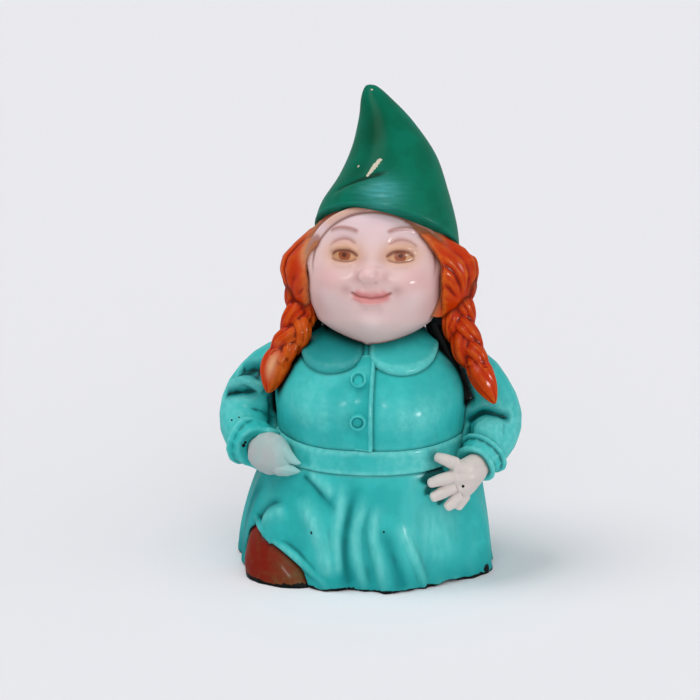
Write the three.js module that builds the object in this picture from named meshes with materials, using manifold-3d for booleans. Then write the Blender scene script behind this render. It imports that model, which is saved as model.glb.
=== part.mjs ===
// A standing folk gnome woman in a long dress, as a painted figurine made of separate pieces.
// Millimetres, +Z up. She faces -Y, and her own right hand is on the -X side.
// The origin is the middle of the base, on the surface she stands on.
import * as THREE from "three";
import { mergeVertices } from "three/addons/utils/BufferGeometryUtils.js";
import Module from "manifold-3d";

const wasm = await Module();
wasm.setup();

// Fits
const GLUE_GAP = 0.3; // between two pieces that are glued face to face
const SHOE_GAP = 0.7; // from the hem of the skirt to the shoe under it

// Skirt. A station is a share of the height, with the four half-sizes as shares of those at the hem.
const SKIRT_HEIGHT = 28.6;
const HEM_RIGHT = 32.2;
const HEM_LEFT = 29;
const HEM_FRONT = 25.6;
const HEM_BACK = 24.5;
const SKIRT_STATIONS = [
  { at: 0, right: 1, left: 1, front: 1, back: 1 },
  { at: 0.245, right: 0.98, left: 0.98, front: 0.985, back: 0.98 },
  { at: 0.525, right: 0.925, left: 0.95, front: 0.97, back: 0.92 },
  { at: 0.79, right: 0.85, left: 0.91, front: 0.955, back: 0.84 },
  { at: 1, right: 0.76, left: 0.835, front: 0.93, back: 0.785 },
];
const FOLD_COUNT = 14;
const FOLD_DEPTH = 1.2;
const FOLD_FADE = 0.8; // how fast the folds die out towards the waist
const FOLD_CROWDING = 1.6; // how far the folds gather at the front and the back
const KNEE_SWELL = 1.6;
const KNEE_HEIGHT = 14;
const KNEE_REACH = 9;
const KNEE_ARC = THREE.MathUtils.degToRad(29);

// Shoe, seen from its toe. A station is a share of the length, with shares of the width and height.
const SHOE_LENGTH = 17;
const SHOE_HALF_WIDTH = 10.2;
const SHOE_HEIGHT = 14.6;
const SHOE_TOE = new THREE.Vector2(-21.8, -22.8);
const SHOE_TURN = THREE.MathUtils.degToRad(-24);
const SHOE_LEAN = 0.36; // sideways per millimetre of height, towards her right
const SHOE_ARCH = 1.15; // over 1 gives the upper a ridge, under 1 fuller shoulders
const SHOE_STATIONS = [
  { at: 0, half: 0.295, high: 0.205 },
  { at: 0.08, half: 0.645, high: 0.45 },
  { at: 0.235, half: 0.865, high: 0.685 },
  { at: 0.47, half: 0.98, high: 0.89 },
  { at: 0.705, half: 1, high: 1 },
  { at: 1, half: 0.92, high: 0.985 },
];

// Bodice, from the waist to the top of the neck, in shares as the skirt is
const BODICE_HEIGHT = 36;
const BODICE_HALF_WIDTH = 23.2;
const BODICE_FRONT = 23.6;
const BODICE_BACK = 17;
const BODICE_STATIONS = [
  { at: 0, wide: 0.92, front: 0.905, back: 0.99 },
  { at: 0.165, wide: 0.955, front: 0.96, back: 1 },
  { at: 0.335, wide: 1, front: 1, back: 1 },
  { at: 0.47, wide: 0.985, front: 0.965, back: 0.975 },
  { at: 0.61, wide: 0.87, front: 0.83, back: 0.88 },
  { at: 0.72, wide: 0.67, front: 0.62, back: 0.73 },
  { at: 0.805, wide: 0.44, front: 0.405, back: 0.53 },
  { at: 0.89, wide: 0.33, front: 0.315, back: 0.435 },
  { at: 1, wide: 0.31, front: 0.295, back: 0.41 },
];
const BUST_SWELL = 2.2;
const BUST_HEIGHT = 12.5;
const BUST_SPREAD = 11;
const BUST_REACH = 8;
const SPIGOT_RADIUS = 9;
const SPIGOT_LENGTH = 5;

// Waistband
const BAND_HEIGHT = 5.4;
const BAND_THICKNESS = 1.3;

// Collar, two flaps that lie on the bodice
const COLLAR_WIDTH = 6.4; // in front
const COLLAR_BACK_WIDTH = 2.8;
const COLLAR_THICKNESS = 1.5;
const COLLAR_NOTCH = THREE.MathUtils.degToRad(2.4);
const COLLAR_DROP = 7.6; // from the top of the neck
const COLLAR_TOP = BODICE_HEIGHT - COLLAR_DROP;
const COLLAR_POINT = 0.35; // width at the notch, as a share of the full width
const COLLAR_ROUNDING = 0.14; // share of the flap's length in which it widens

// Placket and buttons
const PLACKET_HALF_WIDTH = 3.6;
const PLACKET_THICKNESS = 0.9;
const PLACKET_SIDE = -1; // its middle lies on her right of the centre line
const BUTTON_RADIUS = 1.95;
const BUTTON_THICKNESS = 1.3;
const UPPER_BUTTON_DROP = 7.8; // from the top of the collar
const LOWER_BUTTON_RISE = 11.8; // from the waist
const BUTTON_HEIGHTS = { upper: COLLAR_TOP - UPPER_BUTTON_DROP, lower: LOWER_BUTTON_RISE };

// Head, in its own frame with its middle at the origin, which lies over the neck
const HEAD_RISE = 9.3;
const HEAD_PLACE = [1, -2.2, BODICE_HEIGHT + HEAD_RISE]; // over the waist
const HEAD_TILT = THREE.MathUtils.degToRad(-8);
const HEAD_HALF_WIDTH = 17.2;
const HEAD_FRONT = 16;
const HEAD_BACK = 15;
const HEAD_UP = 17;
const HEAD_DOWN = 21.8;
const BROW_TAPER = 0.17; // how much narrower the crown is than the cheeks
const CHEEK_SWELL = 1.5;
const CHEEK_SPREAD = 9.5;
const CHEEK_DROP = 4;
const CHEEK_REACH = 6;
const CHIN_SWELL = 1.2;
const CHIN_DROP = 12;
const CHIN_REACH = [5, 4];
const EYE_HOLLOW = 1.4;
const EYE_HOLLOW_REACH = [3.6, 3];
const EYE_SPREAD = 6.6; // from the middle of the face to the middle of an eye
const EYE_HEIGHT = 3.4;
const EYE_HALF = [3.4, 1.6, 2];
const NOSE_DROP = 2; // under the middle of the head
const NOSE_HALF = [2.4, 3.2, 2.2];
const MOUTH_DROP = 7.4;
const MOUTH_HALF = [4.4, 1.5, 1.1];

// Hair, a cap round the head with an open front, in shares from its foot to its top
const HAIR_SHIFT = 0.9;
const HAIR_UP = 16.6;
const HAIR_DOWN = 17.5;
const HAIR_HALF_WIDTH = 23.6;
const HAIR_FRONT = 14.4;
const HAIR_BACK = 18.4;
const HAIR_STATIONS = [
  { at: 0, wide: 0.58, front: 0.1, back: 0.56 },
  { at: 0.117, wide: 0.76, front: 0.3, back: 0.76 },
  { at: 0.192, wide: 0.84, front: 0.54, back: 0.86 },
  { at: 0.294, wide: 0.92, front: 0.83, back: 0.94 },
  { at: 0.453, wide: 1, front: 0.97, back: 1 },
  { at: 0.559, wide: 0.96, front: 1, back: 0.99 },
  { at: 0.66, wide: 0.82, front: 0.985, back: 0.925 },
  { at: 0.762, wide: 0.66, front: 0.9, back: 0.795 },
  { at: 0.881, wide: 0.51, front: 0.735, back: 0.6 },
  { at: 1, wide: 0.17, front: 0.28, back: 0.22 },
];
const FACE_WINDOW_HALF_WIDTH = 16;
const FACE_WINDOW_UP = 14.4;
const FACE_WINDOW_SHOULDER = [0.78, 0.62]; // where its arch turns, in shares of those two
const FACE_WINDOW_FRONT = 4;

// Braids: lobes that sway and lean along a hanging line, then a tail. Heights are from the head's middle.
const BRAID_ROUTES = {
  right: [
    [-15.4, -5, -8.2],
    [-17.6, -7.4, -16.2],
    [-21.6, -8.8, -23.2],
    [-24, -9.6, -30.8],
  ],
  left: [
    [19.8, -4, -8.6],
    [21.4, -6.2, -15.2],
    [24.8, -8, -21.6],
    [28.6, -9.4, -32.2],
  ],
};
const BRAID_LOBES = 4;
const BRAID_LOBE_LENGTH = 4.6;
const BRAID_LOBE_RADIUS = 3.3;
const BRAID_SWAY = 1.1;
const BRAID_LEAN = THREE.MathUtils.degToRad(34);
const BRAID_TAIL_LENGTH = 10;
const BRAID_TAIL_RADIUS = 3.6;
const BRAID_TAIL_TUCK = 1.2; // how far the tail reaches past its length at each end
const BRAID_FIRST_LOBE = 0.4; // where the first lobe sits, in lobe pitches from the top

// Hat: a station is the middle of a ring in the head's frame, with its rise over the brim as a share of
// the height and its radius as a share of the brim's
const HAT_HEIGHT = 36.2;
const HAT_BRIM_RADIUS = 17.4;
const HAT_BRIM_HEIGHT = 5.4; // over the head's middle
const HAT_BRIM_TILT = THREE.MathUtils.degToRad(-28);
const HAT_BRIM_ROLL = THREE.MathUtils.degToRad(9);
const HAT_LEVELLING = 1.5; // how fast the rings turn level above the brim
const HAT_STATIONS = [
  { at: 0, x: 2.4, y: 2.4, rise: 0, radius: 1 },
  { at: 1, x: 2.8, y: 2.9, rise: 0.155, radius: 0.92 },
  { at: 2, x: 3.6, y: 3.8, rise: 0.36, radius: 0.735 },
  { at: 3, x: 3.5, y: 4.8, rise: 0.57, radius: 0.565 },
  { at: 4, x: 1.4, y: 5.7, rise: 0.775, radius: 0.355 },
  { at: 5, x: -1, y: 6.4, rise: 0.915, radius: 0.195 },
  { at: 6, x: -2.2, y: 6.7, rise: 0.985, radius: 0.08 },
  { at: 6.4, x: -2.5, y: 6.8, rise: 1, radius: 0.02 },
];

// Arms: a route from shoulder to wrist with the sleeve's radius at each point. A point is given out from
// the bodice's side, back, and over the waist.
const ARM_ROUTES = {
  right: [
    [-10.2, 1, 20.2, 5],
    [-0.6, 2.2, 17.7, 6.6],
    [5, 2.4, 12.1, 7],
    [7.2, -0.8, 5.7, 7.2],
    [6.2, -6.4, 2.7, 5.8],
    [3.6, -11.6, 1.9, 3.8],
  ],
  left: [
    [-10.2, 1, 20.2, 5],
    [-0.6, 2.2, 17.7, 6.6],
    [3.8, 2.2, 12.1, 7],
    [6, -1, 6.7, 7.2],
    [5.6, -7.2, 2.7, 5.4],
    [2.6, -13.2, -0.1, 3.2],
  ],
};
const CUFF_LENGTH = 3.8;
const CUFF_INSET = 0.7; // from the end of the sleeve
const CUFF_THICKNESS = 1;

// Hands: the palm's middle, given as an arm's points are, its half-sizes, the way its fingers point and
// the way its back faces.
// A finger runs from a base to a tip, each given along the hand and across it.
const HANDS = {
  right: {
    palm: [-0.8, -17, 1.1],
    half: [6, 5.6, 3.4],
    along: [0.85, -0.52, -0.12],
    back: [-0.5, -0.85, 0.15],
    fingers: [
      { base: [2, 3], tip: [6.4, 1.9], radius: 1.7 },
      { base: [2.4, -2.4], tip: [6.8, -2.8], radius: 2.3 },
    ],
  },
  left: {
    palm: [0, -17.4, -3.7],
    half: [5.4, 4.8, 2.8],
    along: [-0.64, -0.68, -0.36],
    back: [0.65, -0.72, 0.2],
    fingers: [
      { base: [-1.2, -2.8], tip: [3.6, -7.5], radius: 1.35 },
      { base: [2.4, -2.9], tip: [8, -4.9], radius: 1.2 },
      { base: [3.2, -0.9], tip: [9.2, -1.4], radius: 1.25 },
      { base: [3.2, 1.2], tip: [7.8, 1.9], radius: 1.2 },
      { base: [2.2, 3], tip: [5.4, 3.8], radius: 1.15 },
    ],
  },
};
const WRIST_RADIUS = 2.4;
const WRIST_PEG = 3.5;

// Paint
const PAINT = {
  turquoise: { color: 0x45bcb8, roughness: 0.42 },
  hat_green: { color: 0x02705a, roughness: 0.36 },
  skin: { color: 0xe6c8c4, roughness: 0.34 },
  hair: { color: 0xc9571f, roughness: 0.4 },
  shoe_brown: { color: 0x6e1d14, roughness: 0.35 },
};

// Facets
const ROUND = 32;
const FINE = 70;
const MEDIUM = 26;
const COARSE = 14;
const FACE_CROWDING = 0.34; // how far the head's facets gather at the face

const TURN = 2 * Math.PI;
const SIDES = { right: -1, left: 1 };
const FRONT = -Math.PI / 2;
const UP = new THREE.Vector3(0, 0, 1);
const AHEAD = new THREE.Vector3(0, -1, 0);
const CAPSULE_AXIS = new THREE.Vector3(0, 1, 0);

// A smooth curve through the stations' values under one key
function through(stations, key) {
  const slope = (i) => {
    const a = stations[Math.max(i - 1, 0)];
    const b = stations[Math.min(i + 1, stations.length - 1)];
    return (b[key] - a[key]) / (b.at - a.at);
  };
  return (at) => {
    const last = stations.length - 2;
    let i = 0;
    while (i < last && at > stations[i + 1].at) i += 1;
    const [a, b] = [stations[i], stations[i + 1]];
    const span = b.at - a.at;
    const s = THREE.MathUtils.clamp((at - a.at) / span, 0, 1);
    const [s2, s3] = [s * s, s * s * s];
    const start = a[key] * (2 * s3 - 3 * s2 + 1) + slope(i) * span * (s3 - 2 * s2 + s);
    const end = b[key] * (3 * s2 - 2 * s3) + slope(i + 1) * span * (s3 - s2);
    return start + end;
  };
}

// The smooth curves through stations in shares, for each key that has a full size
function curves(stations, sizes) {
  const full = stations.map((station) => {
    const entries = Object.entries(station);
    return Object.fromEntries(entries.map(([key, share]) => [key, share * (sizes[key] ?? 1)]));
  });
  return Object.fromEntries(Object.keys(sizes).map((key) => [key, through(full, key)]));
}

// A bell of height 1 at 0 that fades within about twice the reach
const bell = (distance, reach) => Math.exp(-((distance / reach) ** 2));

// A ring of points from a function of the angle
const ringOf = (count, point) => Array.from({ length: count }, (_, j) => point((j / count) * TURN));

// A closed surface through rings of points, each ring turning left about the way to the next one
function loft(rings, { closed = false } = {}) {
  const count = rings[0].length;
  const points = rings.flat();
  const faces = [];
  const bands = closed ? rings.length : rings.length - 1;
  for (let i = 0; i < bands; i += 1) {
    const low = i * count;
    const high = ((i + 1) % rings.length) * count;
    for (let j = 0; j < count; j += 1) {
      const k = (j + 1) % count;
      faces.push(low + j, low + k, high + k, low + j, high + k, high + j);
    }
  }
  if (!closed) {
    for (const [i, turned] of [[0, true], [rings.length - 1, false]]) {
      const middle = new THREE.Vector3();
      rings[i].forEach((p) => middle.addScaledVector(p, 1 / count));
      points.push(middle);
      for (let j = 0; j < count; j += 1) {
        const pair = [i * count + j, i * count + ((j + 1) % count)];
        if (turned) pair.reverse();
        faces.push(points.length - 1, ...pair);
      }
    }
  }
  const geometry = new THREE.BufferGeometry();
  const places = points.flatMap((p) => p.toArray());
  geometry.setAttribute("position", new THREE.Float32BufferAttribute(places, 3));
  geometry.setIndex(faces);
  return geometry;
}

// A geometry as a solid that can be joined and cut
function solid(geometry) {
  const bare = geometry.clone();
  bare.deleteAttribute("normal");
  bare.deleteAttribute("uv");
  const merged = mergeVertices(bare, 1e-4);
  const corners = merged.index.array;
  const faces = [];
  for (let i = 0; i < corners.length; i += 3) {
    const face = corners.slice(i, i + 3);
    if (new Set(face).size === 3) faces.push(...face);
  }
  return new wasm.Manifold(
    new wasm.Mesh({
      numProp: 3,
      vertProperties: new Float32Array(merged.attributes.position.array),
      triVerts: new Uint32Array(faces),
    }),
  );
}

function geometryOf(made) {
  const { vertProperties, triVerts } = made.getMesh();
  const geometry = new THREE.BufferGeometry();
  geometry.setAttribute("position", new THREE.BufferAttribute(vertProperties, 3));
  geometry.setIndex(new THREE.BufferAttribute(triVerts, 1));
  geometry.computeVertexNormals();
  return geometry;
}

// Joining, and cutting down to the largest body that is left
const joined = (...solids) => solids.reduce((a, b) => a.add(b));
const mainBody = (cut) => cut.decompose().sort((a, b) => b.volume() - a.volume())[0];
const cutBy = (body, ...tools) => mainBody(tools.reduce((a, b) => a.subtract(b), body));

// An ellipsoid turned by a quaternion
function ellipsoid(middle, half, turn, around = 10, tall = 7) {
  const geometry = new THREE.SphereGeometry(1, around, tall);
  geometry.rotateX(Math.PI / 2);
  geometry.scale(...half);
  geometry.applyQuaternion(turn);
  geometry.translate(...middle.toArray());
  return solid(geometry);
}

// A bar with round ends between two points
function capsule(from, to, radius, around = 8) {
  const reach = to.clone().sub(from);
  const length = reach.length();
  const geometry = new THREE.CapsuleGeometry(radius, length, 2, around);
  geometry.translate(0, length / 2, 0);
  geometry.applyQuaternion(new THREE.Quaternion().setFromUnitVectors(CAPSULE_AXIS, reach.normalize()));
  geometry.translate(...from.toArray());
  return solid(geometry);
}

// A cylinder on the Z axis between two heights
function upright(low, high, radius) {
  const geometry = new THREE.CylinderGeometry(radius, radius, high - low, MEDIUM);
  geometry.rotateX(Math.PI / 2);
  geometry.translate(0, 0, (low + high) / 2);
  return solid(geometry);
}

// Skirt surface: a four-quarter oval with folds that deepen to the hem and a swell over the knee
const WAIST = SKIRT_HEIGHT + GLUE_GAP;
const overWaist = ([x, y, z]) => new THREE.Vector3(x, y, WAIST + z);
const besideBodice = (side, [out, y, z]) => overWaist([SIDES[side] * (BODICE_HALF_WIDTH + out), y, z]);
const skirtSide = curves(SKIRT_STATIONS, {
  at: SKIRT_HEIGHT,
  right: HEM_RIGHT,
  left: HEM_LEFT,
  front: HEM_FRONT,
  back: HEM_BACK,
});
const kneeAngle = Math.atan2(SHOE_TOE.y, SHOE_TOE.x);
function skirtPoint(angle, z, grow) {
  const level = THREE.MathUtils.clamp(z, 0, SKIRT_HEIGHT);
  const wide = Math.cos(angle) > 0 ? skirtSide.left(level) : skirtSide.right(level);
  const deep = Math.sin(angle) > 0 ? skirtSide.back(level) : skirtSide.front(level);
  const fall = 1 - level / SKIRT_HEIGHT;
  const wave = Math.cos(FOLD_COUNT * angle + FOLD_CROWDING * Math.sin(2 * angle));
  const fromKnee = Math.atan2(Math.sin(angle - kneeAngle), Math.cos(angle - kneeAngle));
  const swell = KNEE_SWELL * bell(fromKnee, KNEE_ARC) * bell(level - KNEE_HEIGHT, KNEE_REACH);
  const out = grow + FOLD_DEPTH * fall ** FOLD_FADE * wave + swell;
  return new THREE.Vector3((wide + out) * Math.cos(angle), (deep + out) * Math.sin(angle), z);
}

function skirtBody(grow) {
  const rings = [];
  const steps = 7;
  for (let i = 0; i <= steps; i += 1) {
    const z = ((SKIRT_HEIGHT + grow) * i) / steps;
    rings.push(ringOf(FINE, (angle) => skirtPoint(angle, z, grow)));
  }
  return solid(loft(rings));
}

// Shoe: sections with a flat sole and an arched upper, from the toe back under the hem
const shoeSize = curves(SHOE_STATIONS, { at: SHOE_LENGTH, half: SHOE_HALF_WIDTH, high: SHOE_HEIGHT });
function shoeBody(grow) {
  const rings = [];
  const steps = 12;
  for (let i = 0; i <= steps; i += 1) {
    const at = SHOE_LENGTH * (i / steps) ** 1.5;
    const half = shoeSize.half(at) + grow;
    const high = shoeSize.high(at) + grow;
    const along = THREE.MathUtils.mapLinear(at, 0, SHOE_LENGTH, -grow, SHOE_LENGTH + grow);
    const arch = ringOf(COARSE, (angle) => {
      const rise = Math.sin(angle);
      const z = rise < -1e-6 ? -grow : high * Math.max(rise, 0) ** SHOE_ARCH;
      return new THREE.Vector3(half * Math.cos(angle) - SHOE_LEAN * z, along, z);
    });
    rings.push(arch.reverse());
  }
  const geometry = loft(rings);
  geometry.rotateZ(SHOE_TURN);
  geometry.translate(SHOE_TOE.x, SHOE_TOE.y, 0);
  return solid(geometry);
}

// Bodice surface over the waist, with a swell for the bust
const bodiceSide = curves(BODICE_STATIONS, {
  at: BODICE_HEIGHT,
  wide: BODICE_HALF_WIDTH,
  front: BODICE_FRONT,
  back: BODICE_BACK,
});
function bodicePoint(angle, height, grow = 0) {
  const level = THREE.MathUtils.clamp(height, 0, BODICE_HEIGHT);
  const deep = Math.sin(angle) > 0 ? bodiceSide.back(level) : bodiceSide.front(level);
  const wide = bodiceSide.wide(level);
  const aside = Math.abs(wide * Math.cos(angle)) - BUST_SPREAD;
  const ahead = Math.max(-Math.sin(angle), 0);
  const swell = BUST_SWELL * ahead * bell(aside, BUST_REACH) * bell(level - BUST_HEIGHT, BUST_REACH);
  const [x, y] = [(wide + grow) * Math.cos(angle), (deep + swell + grow) * Math.sin(angle)];
  return new THREE.Vector3(x, y, WAIST + height);
}

function bodiceNormal(angle, height) {
  const step = 1e-2;
  const along = bodicePoint(angle + step, height).sub(bodicePoint(angle - step, height));
  const rise = bodicePoint(angle, height + step).sub(bodicePoint(angle, height - step));
  return along.cross(rise).normalize();
}

// A point over the bodice's surface, and the angle at which the bodice has a given x in front
const overBodice = (angle, height, lift) =>
  bodicePoint(angle, height).addScaledVector(bodiceNormal(angle, height), lift);
const frontAngle = (x, height) => FRONT + Math.asin(x / bodiceSide.wide(height));

function bodiceBody(grow) {
  const steps = 13;
  const rings = [];
  for (let i = 0; i <= steps; i += 1) {
    rings.push(ringOf(ROUND, (angle) => overBodice(angle, (BODICE_HEIGHT * i) / steps, grow)));
  }
  rings[0].forEach((p) => p.setZ(WAIST - grow));
  rings[steps].forEach((p) => p.setZ(WAIST + BODICE_HEIGHT + grow));
  return solid(loft(rings));
}

// Section of a strip, as shares along its width and out from what it lies on
const STRIP_SECTION = [
  [0, 0],
  [1, 0],
  [1.02, 0.55],
  [0.9, 1],
  [0.5, 1.08],
  [0.1, 1],
  [-0.02, 0.55],
];
const STRIP_CREST = 1.08;

// Waistband: a strip all round the foot of the bodice
function bandBody(grow) {
  const rings = ringOf(ROUND, (angle) =>
    STRIP_SECTION.map(([rise, out]) => {
      const height = rise * BAND_HEIGHT + grow * Math.sign(rise - 0.5);
      const lift = GLUE_GAP + out * (BAND_THICKNESS + grow);
      return bodicePoint(angle, Math.max(height, 0), lift).setZ(WAIST + height);
    }),
  );
  return solid(loft(rings, { closed: true }));
}

// Placket: a thin strip down the front with the buttons on it, up between the collar's flaps
function placketBody() {
  const rings = [];
  const steps = 9;
  const low = BAND_HEIGHT + 2 * GLUE_GAP;
  const high = COLLAR_TOP - COLLAR_WIDTH / 2;
  for (let i = 0; i <= steps; i += 1) {
    const height = low + ((high - low) * i) / steps;
    const ring = STRIP_SECTION.map(([across, out]) => {
      const x = PLACKET_SIDE + (across - 0.5) * 2 * PLACKET_HALF_WIDTH;
      return overBodice(frontAngle(x, height), height, GLUE_GAP + out * PLACKET_THICKNESS);
    });
    rings.push(ring.reverse());
  }
  return solid(loft(rings));
}

// Button: a dished disc
function buttonBody() {
  const profile = [
    [0, 0],
    [0.9, 0],
    [1, 0.5],
    [0.86, 1],
    [0.6, 0.82],
    [0, 0.74],
  ].map(([out, rise]) => new THREE.Vector2(out * BUTTON_RADIUS, rise * BUTTON_THICKNESS));
  return solid(new THREE.LatheGeometry(profile, 18));
}

// Collar flap: a strip from the notch in front round to the middle of the back.
// Its inner face starts under the bodice's surface, and the cut for the glue shapes it.
function collarBody(side, grow) {
  const rings = [];
  const steps = 16;
  for (let i = 0; i <= steps; i += 1) {
    const share = i / steps;
    const angle = FRONT + side * (COLLAR_NOTCH + (Math.PI - 2 * COLLAR_NOTCH) * share);
    const widening = Math.sqrt(Math.min(share / COLLAR_ROUNDING, 1));
    const full = THREE.MathUtils.lerp(COLLAR_WIDTH, COLLAR_BACK_WIDTH, Math.sqrt(share));
    const width = full * THREE.MathUtils.lerp(COLLAR_POINT, 1, widening) + 2 * grow;
    const ring = STRIP_SECTION.map(([down, out]) => {
      const lift = out > 0 ? GLUE_GAP + out * COLLAR_THICKNESS + grow : -COLLAR_THICKNESS / 2;
      return overBodice(angle, COLLAR_TOP + grow - down * width, lift);
    });
    rings.push(side > 0 ? ring.reverse() : ring);
  }
  return solid(loft(rings));
}

// Head surface: an egg with full cheeks, a chin and hollows for the eyes
function headPoint(around, up, grow) {
  const cap = Math.cos(up);
  const [sx, sy, sz] = [cap * Math.cos(around), cap * Math.sin(around), Math.sin(up)];
  const deep = sy > 0 ? HEAD_BACK : HEAD_FRONT;
  const high = sz > 0 ? HEAD_UP : HEAD_DOWN;
  const brow = 1 - BROW_TAPER * Math.max(sz, 0) ** 1.5;
  const p = new THREE.Vector3(HEAD_HALF_WIDTH * brow * sx, deep * sy, high * sz);
  if (sy < 0) {
    const dome = (x, z, [wide, tall]) => bell(x, wide) * bell(z, tall);
    const aside = Math.abs(p.x);
    const cheek = dome(aside - CHEEK_SPREAD, p.z + CHEEK_DROP, [CHEEK_REACH, CHEEK_REACH]);
    const hollow = dome(aside - EYE_SPREAD, p.z - EYE_HEIGHT, EYE_HOLLOW_REACH);
    const chin = dome(p.x, p.z + CHIN_DROP, CHIN_REACH);
    const swell = CHEEK_SWELL * cheek - EYE_HOLLOW * hollow + CHIN_SWELL * chin;
    p.y -= swell * Math.min(1, -2 * sy);
  }
  const outward = new THREE.Vector3(p.x / HEAD_HALF_WIDTH ** 2, p.y / deep ** 2, p.z / high ** 2);
  return p.addScaledVector(outward.normalize(), grow);
}

function headBody(grow, around = 40, tall = 20) {
  const rings = [];
  for (let i = 1; i < tall; i += 1) {
    const up = -Math.PI / 2 + (Math.PI * i) / tall;
    rings.push(ringOf(around, (angle) => headPoint(angle - FACE_CROWDING * Math.cos(angle), up, grow)));
  }
  return solid(loft(rings));
}

// Face: eyes, a button nose and lips that stand out of the head's surface
function onFace(x, z, sink) {
  const up = Math.asin(z / (z > 0 ? HEAD_UP : HEAD_DOWN));
  const around = FRONT + Math.asin(x / (HEAD_HALF_WIDTH * Math.cos(up)));
  return headPoint(around, up, -sink);
}

function faceBodies() {
  const level = new THREE.Quaternion();
  return [
    ellipsoid(onFace(-EYE_SPREAD, EYE_HEIGHT, EYE_HALF[1] / 2), EYE_HALF, level),
    ellipsoid(onFace(EYE_SPREAD, EYE_HEIGHT, EYE_HALF[1] / 2), EYE_HALF, level),
    ellipsoid(onFace(0, -NOSE_DROP, 0), NOSE_HALF, level),
    ellipsoid(onFace(0, -MOUTH_DROP, MOUTH_HALF[1] / 2), MOUTH_HALF, level),
  ];
}

// Hair: a cap wider than the head that comes down to the nape
const HAIR_HEIGHT = HAIR_UP + HAIR_DOWN;
const hairSide = curves(HAIR_STATIONS, {
  at: HAIR_HEIGHT,
  wide: HAIR_HALF_WIDTH,
  front: HAIR_FRONT,
  back: HAIR_BACK,
});
function hairBody(grow) {
  const rings = [];
  const steps = 11;
  for (let i = 0; i <= steps; i += 1) {
    const level = (HAIR_HEIGHT * i) / steps;
    const z = THREE.MathUtils.mapLinear(level, 0, HAIR_HEIGHT, -HAIR_DOWN - grow, HAIR_UP + grow);
    rings.push(
      ringOf(MEDIUM, (angle) => {
        const deep = Math.sin(angle) > 0 ? hairSide.back(level) : hairSide.front(level);
        const x = HAIR_SHIFT + (hairSide.wide(level) + grow) * Math.cos(angle);
        return new THREE.Vector3(x, (deep + grow) * Math.sin(angle), z);
      }),
    );
  }
  return solid(loft(rings));
}

// Face window: an arched bar that runs forward from the temples
function faceWindow() {
  const shape = new THREE.Shape();
  const middle = HAIR_SHIFT / 2;
  const [right, left] = [middle - FACE_WINDOW_HALF_WIDTH, middle + FACE_WINDOW_HALF_WIDTH];
  const turn = FACE_WINDOW_HALF_WIDTH * FACE_WINDOW_SHOULDER[0];
  const turnUp = FACE_WINDOW_UP * FACE_WINDOW_SHOULDER[1];
  shape.moveTo(right, -HEAD_DOWN);
  shape.lineTo(left, -HEAD_DOWN);
  shape.lineTo(left, 0);
  shape.quadraticCurveTo(middle + turn, turnUp, middle, FACE_WINDOW_UP);
  shape.quadraticCurveTo(middle - turn, turnUp, right, 0);
  const depth = 2 * HEAD_FRONT;
  const bar = new THREE.ExtrudeGeometry(shape, { depth, bevelEnabled: false, curveSegments: 20 });
  bar.rotateX(Math.PI / 2);
  bar.translate(0, -FACE_WINDOW_FRONT, 0);
  return solid(bar);
}

// Hat: rings that lean from the tilted brim to the level tip
const hatAt = curves(HAT_STATIONS, { x: 1, y: 1, rise: HAT_HEIGHT, radius: HAT_BRIM_RADIUS });
function hatBody() {
  const rings = [];
  const last = HAT_STATIONS.at(-1).at;
  const steps = 14;
  for (let i = 0; i <= steps; i += 1) {
    const at = (last * i) / steps;
    const lean = (1 - at / last) ** HAT_LEVELLING;
    const turn = new THREE.Euler(HAT_BRIM_TILT * lean, HAT_BRIM_ROLL * lean, 0);
    const middle = new THREE.Vector3(hatAt.x(at), hatAt.y(at), HAT_BRIM_HEIGHT + hatAt.rise(at));
    const radius = hatAt.radius(at);
    const rim = (angle) => new THREE.Vector3(radius * Math.cos(angle), radius * Math.sin(angle), 0);
    rings.push(ringOf(MEDIUM, (angle) => rim(angle).applyEuler(turn).add(middle)));
  }
  return solid(loft(rings));
}

// Arm: a path with frames along it, and the radius of the sleeve
const ARM_STEPS = 120;
const SLEEVE_RINGS = 12;
function armOf(side) {
  const route = ARM_ROUTES[side];
  const path = new THREE.CatmullRomCurve3(route.map((place) => besideBodice(side, place)));
  const { normals, binormals } = path.computeFrenetFrames(ARM_STEPS);
  const radius = through(route.map((p, i) => ({ at: i / (route.length - 1), radius: p[3] })), "radius");
  const point = (share, angle, lift) => {
    const i = Math.round(share * ARM_STEPS);
    const out = radius(share) + lift;
    return path
      .getPointAt(i / ARM_STEPS)
      .addScaledVector(normals[i], out * Math.cos(angle))
      .addScaledVector(binormals[i], out * Math.sin(angle));
  };
  return { point, length: path.getLength(), wrist: path.getPointAt(1), tangent: path.getTangentAt(1) };
}

function sleeveBody(side, grow) {
  const { point } = armOf(side);
  const rings = [];
  for (let i = 0; i <= SLEEVE_RINGS; i += 1) {
    rings.push(ringOf(COARSE, (angle) => point(i / SLEEVE_RINGS, angle, grow)));
  }
  return solid(loft(rings));
}

// Cuff: a turned-back strip round the end of the sleeve
function cuffBody(side) {
  const { point, length } = armOf(side);
  const rings = ringOf(COARSE, (angle) =>
    STRIP_SECTION.map(([along, out]) => {
      const back = CUFF_INSET + (1 - along) * CUFF_LENGTH;
      return point(1 - back / length, angle, GLUE_GAP + out * CUFF_THICKNESS);
    }),
  );
  return solid(loft(rings, { closed: true }));
}

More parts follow.
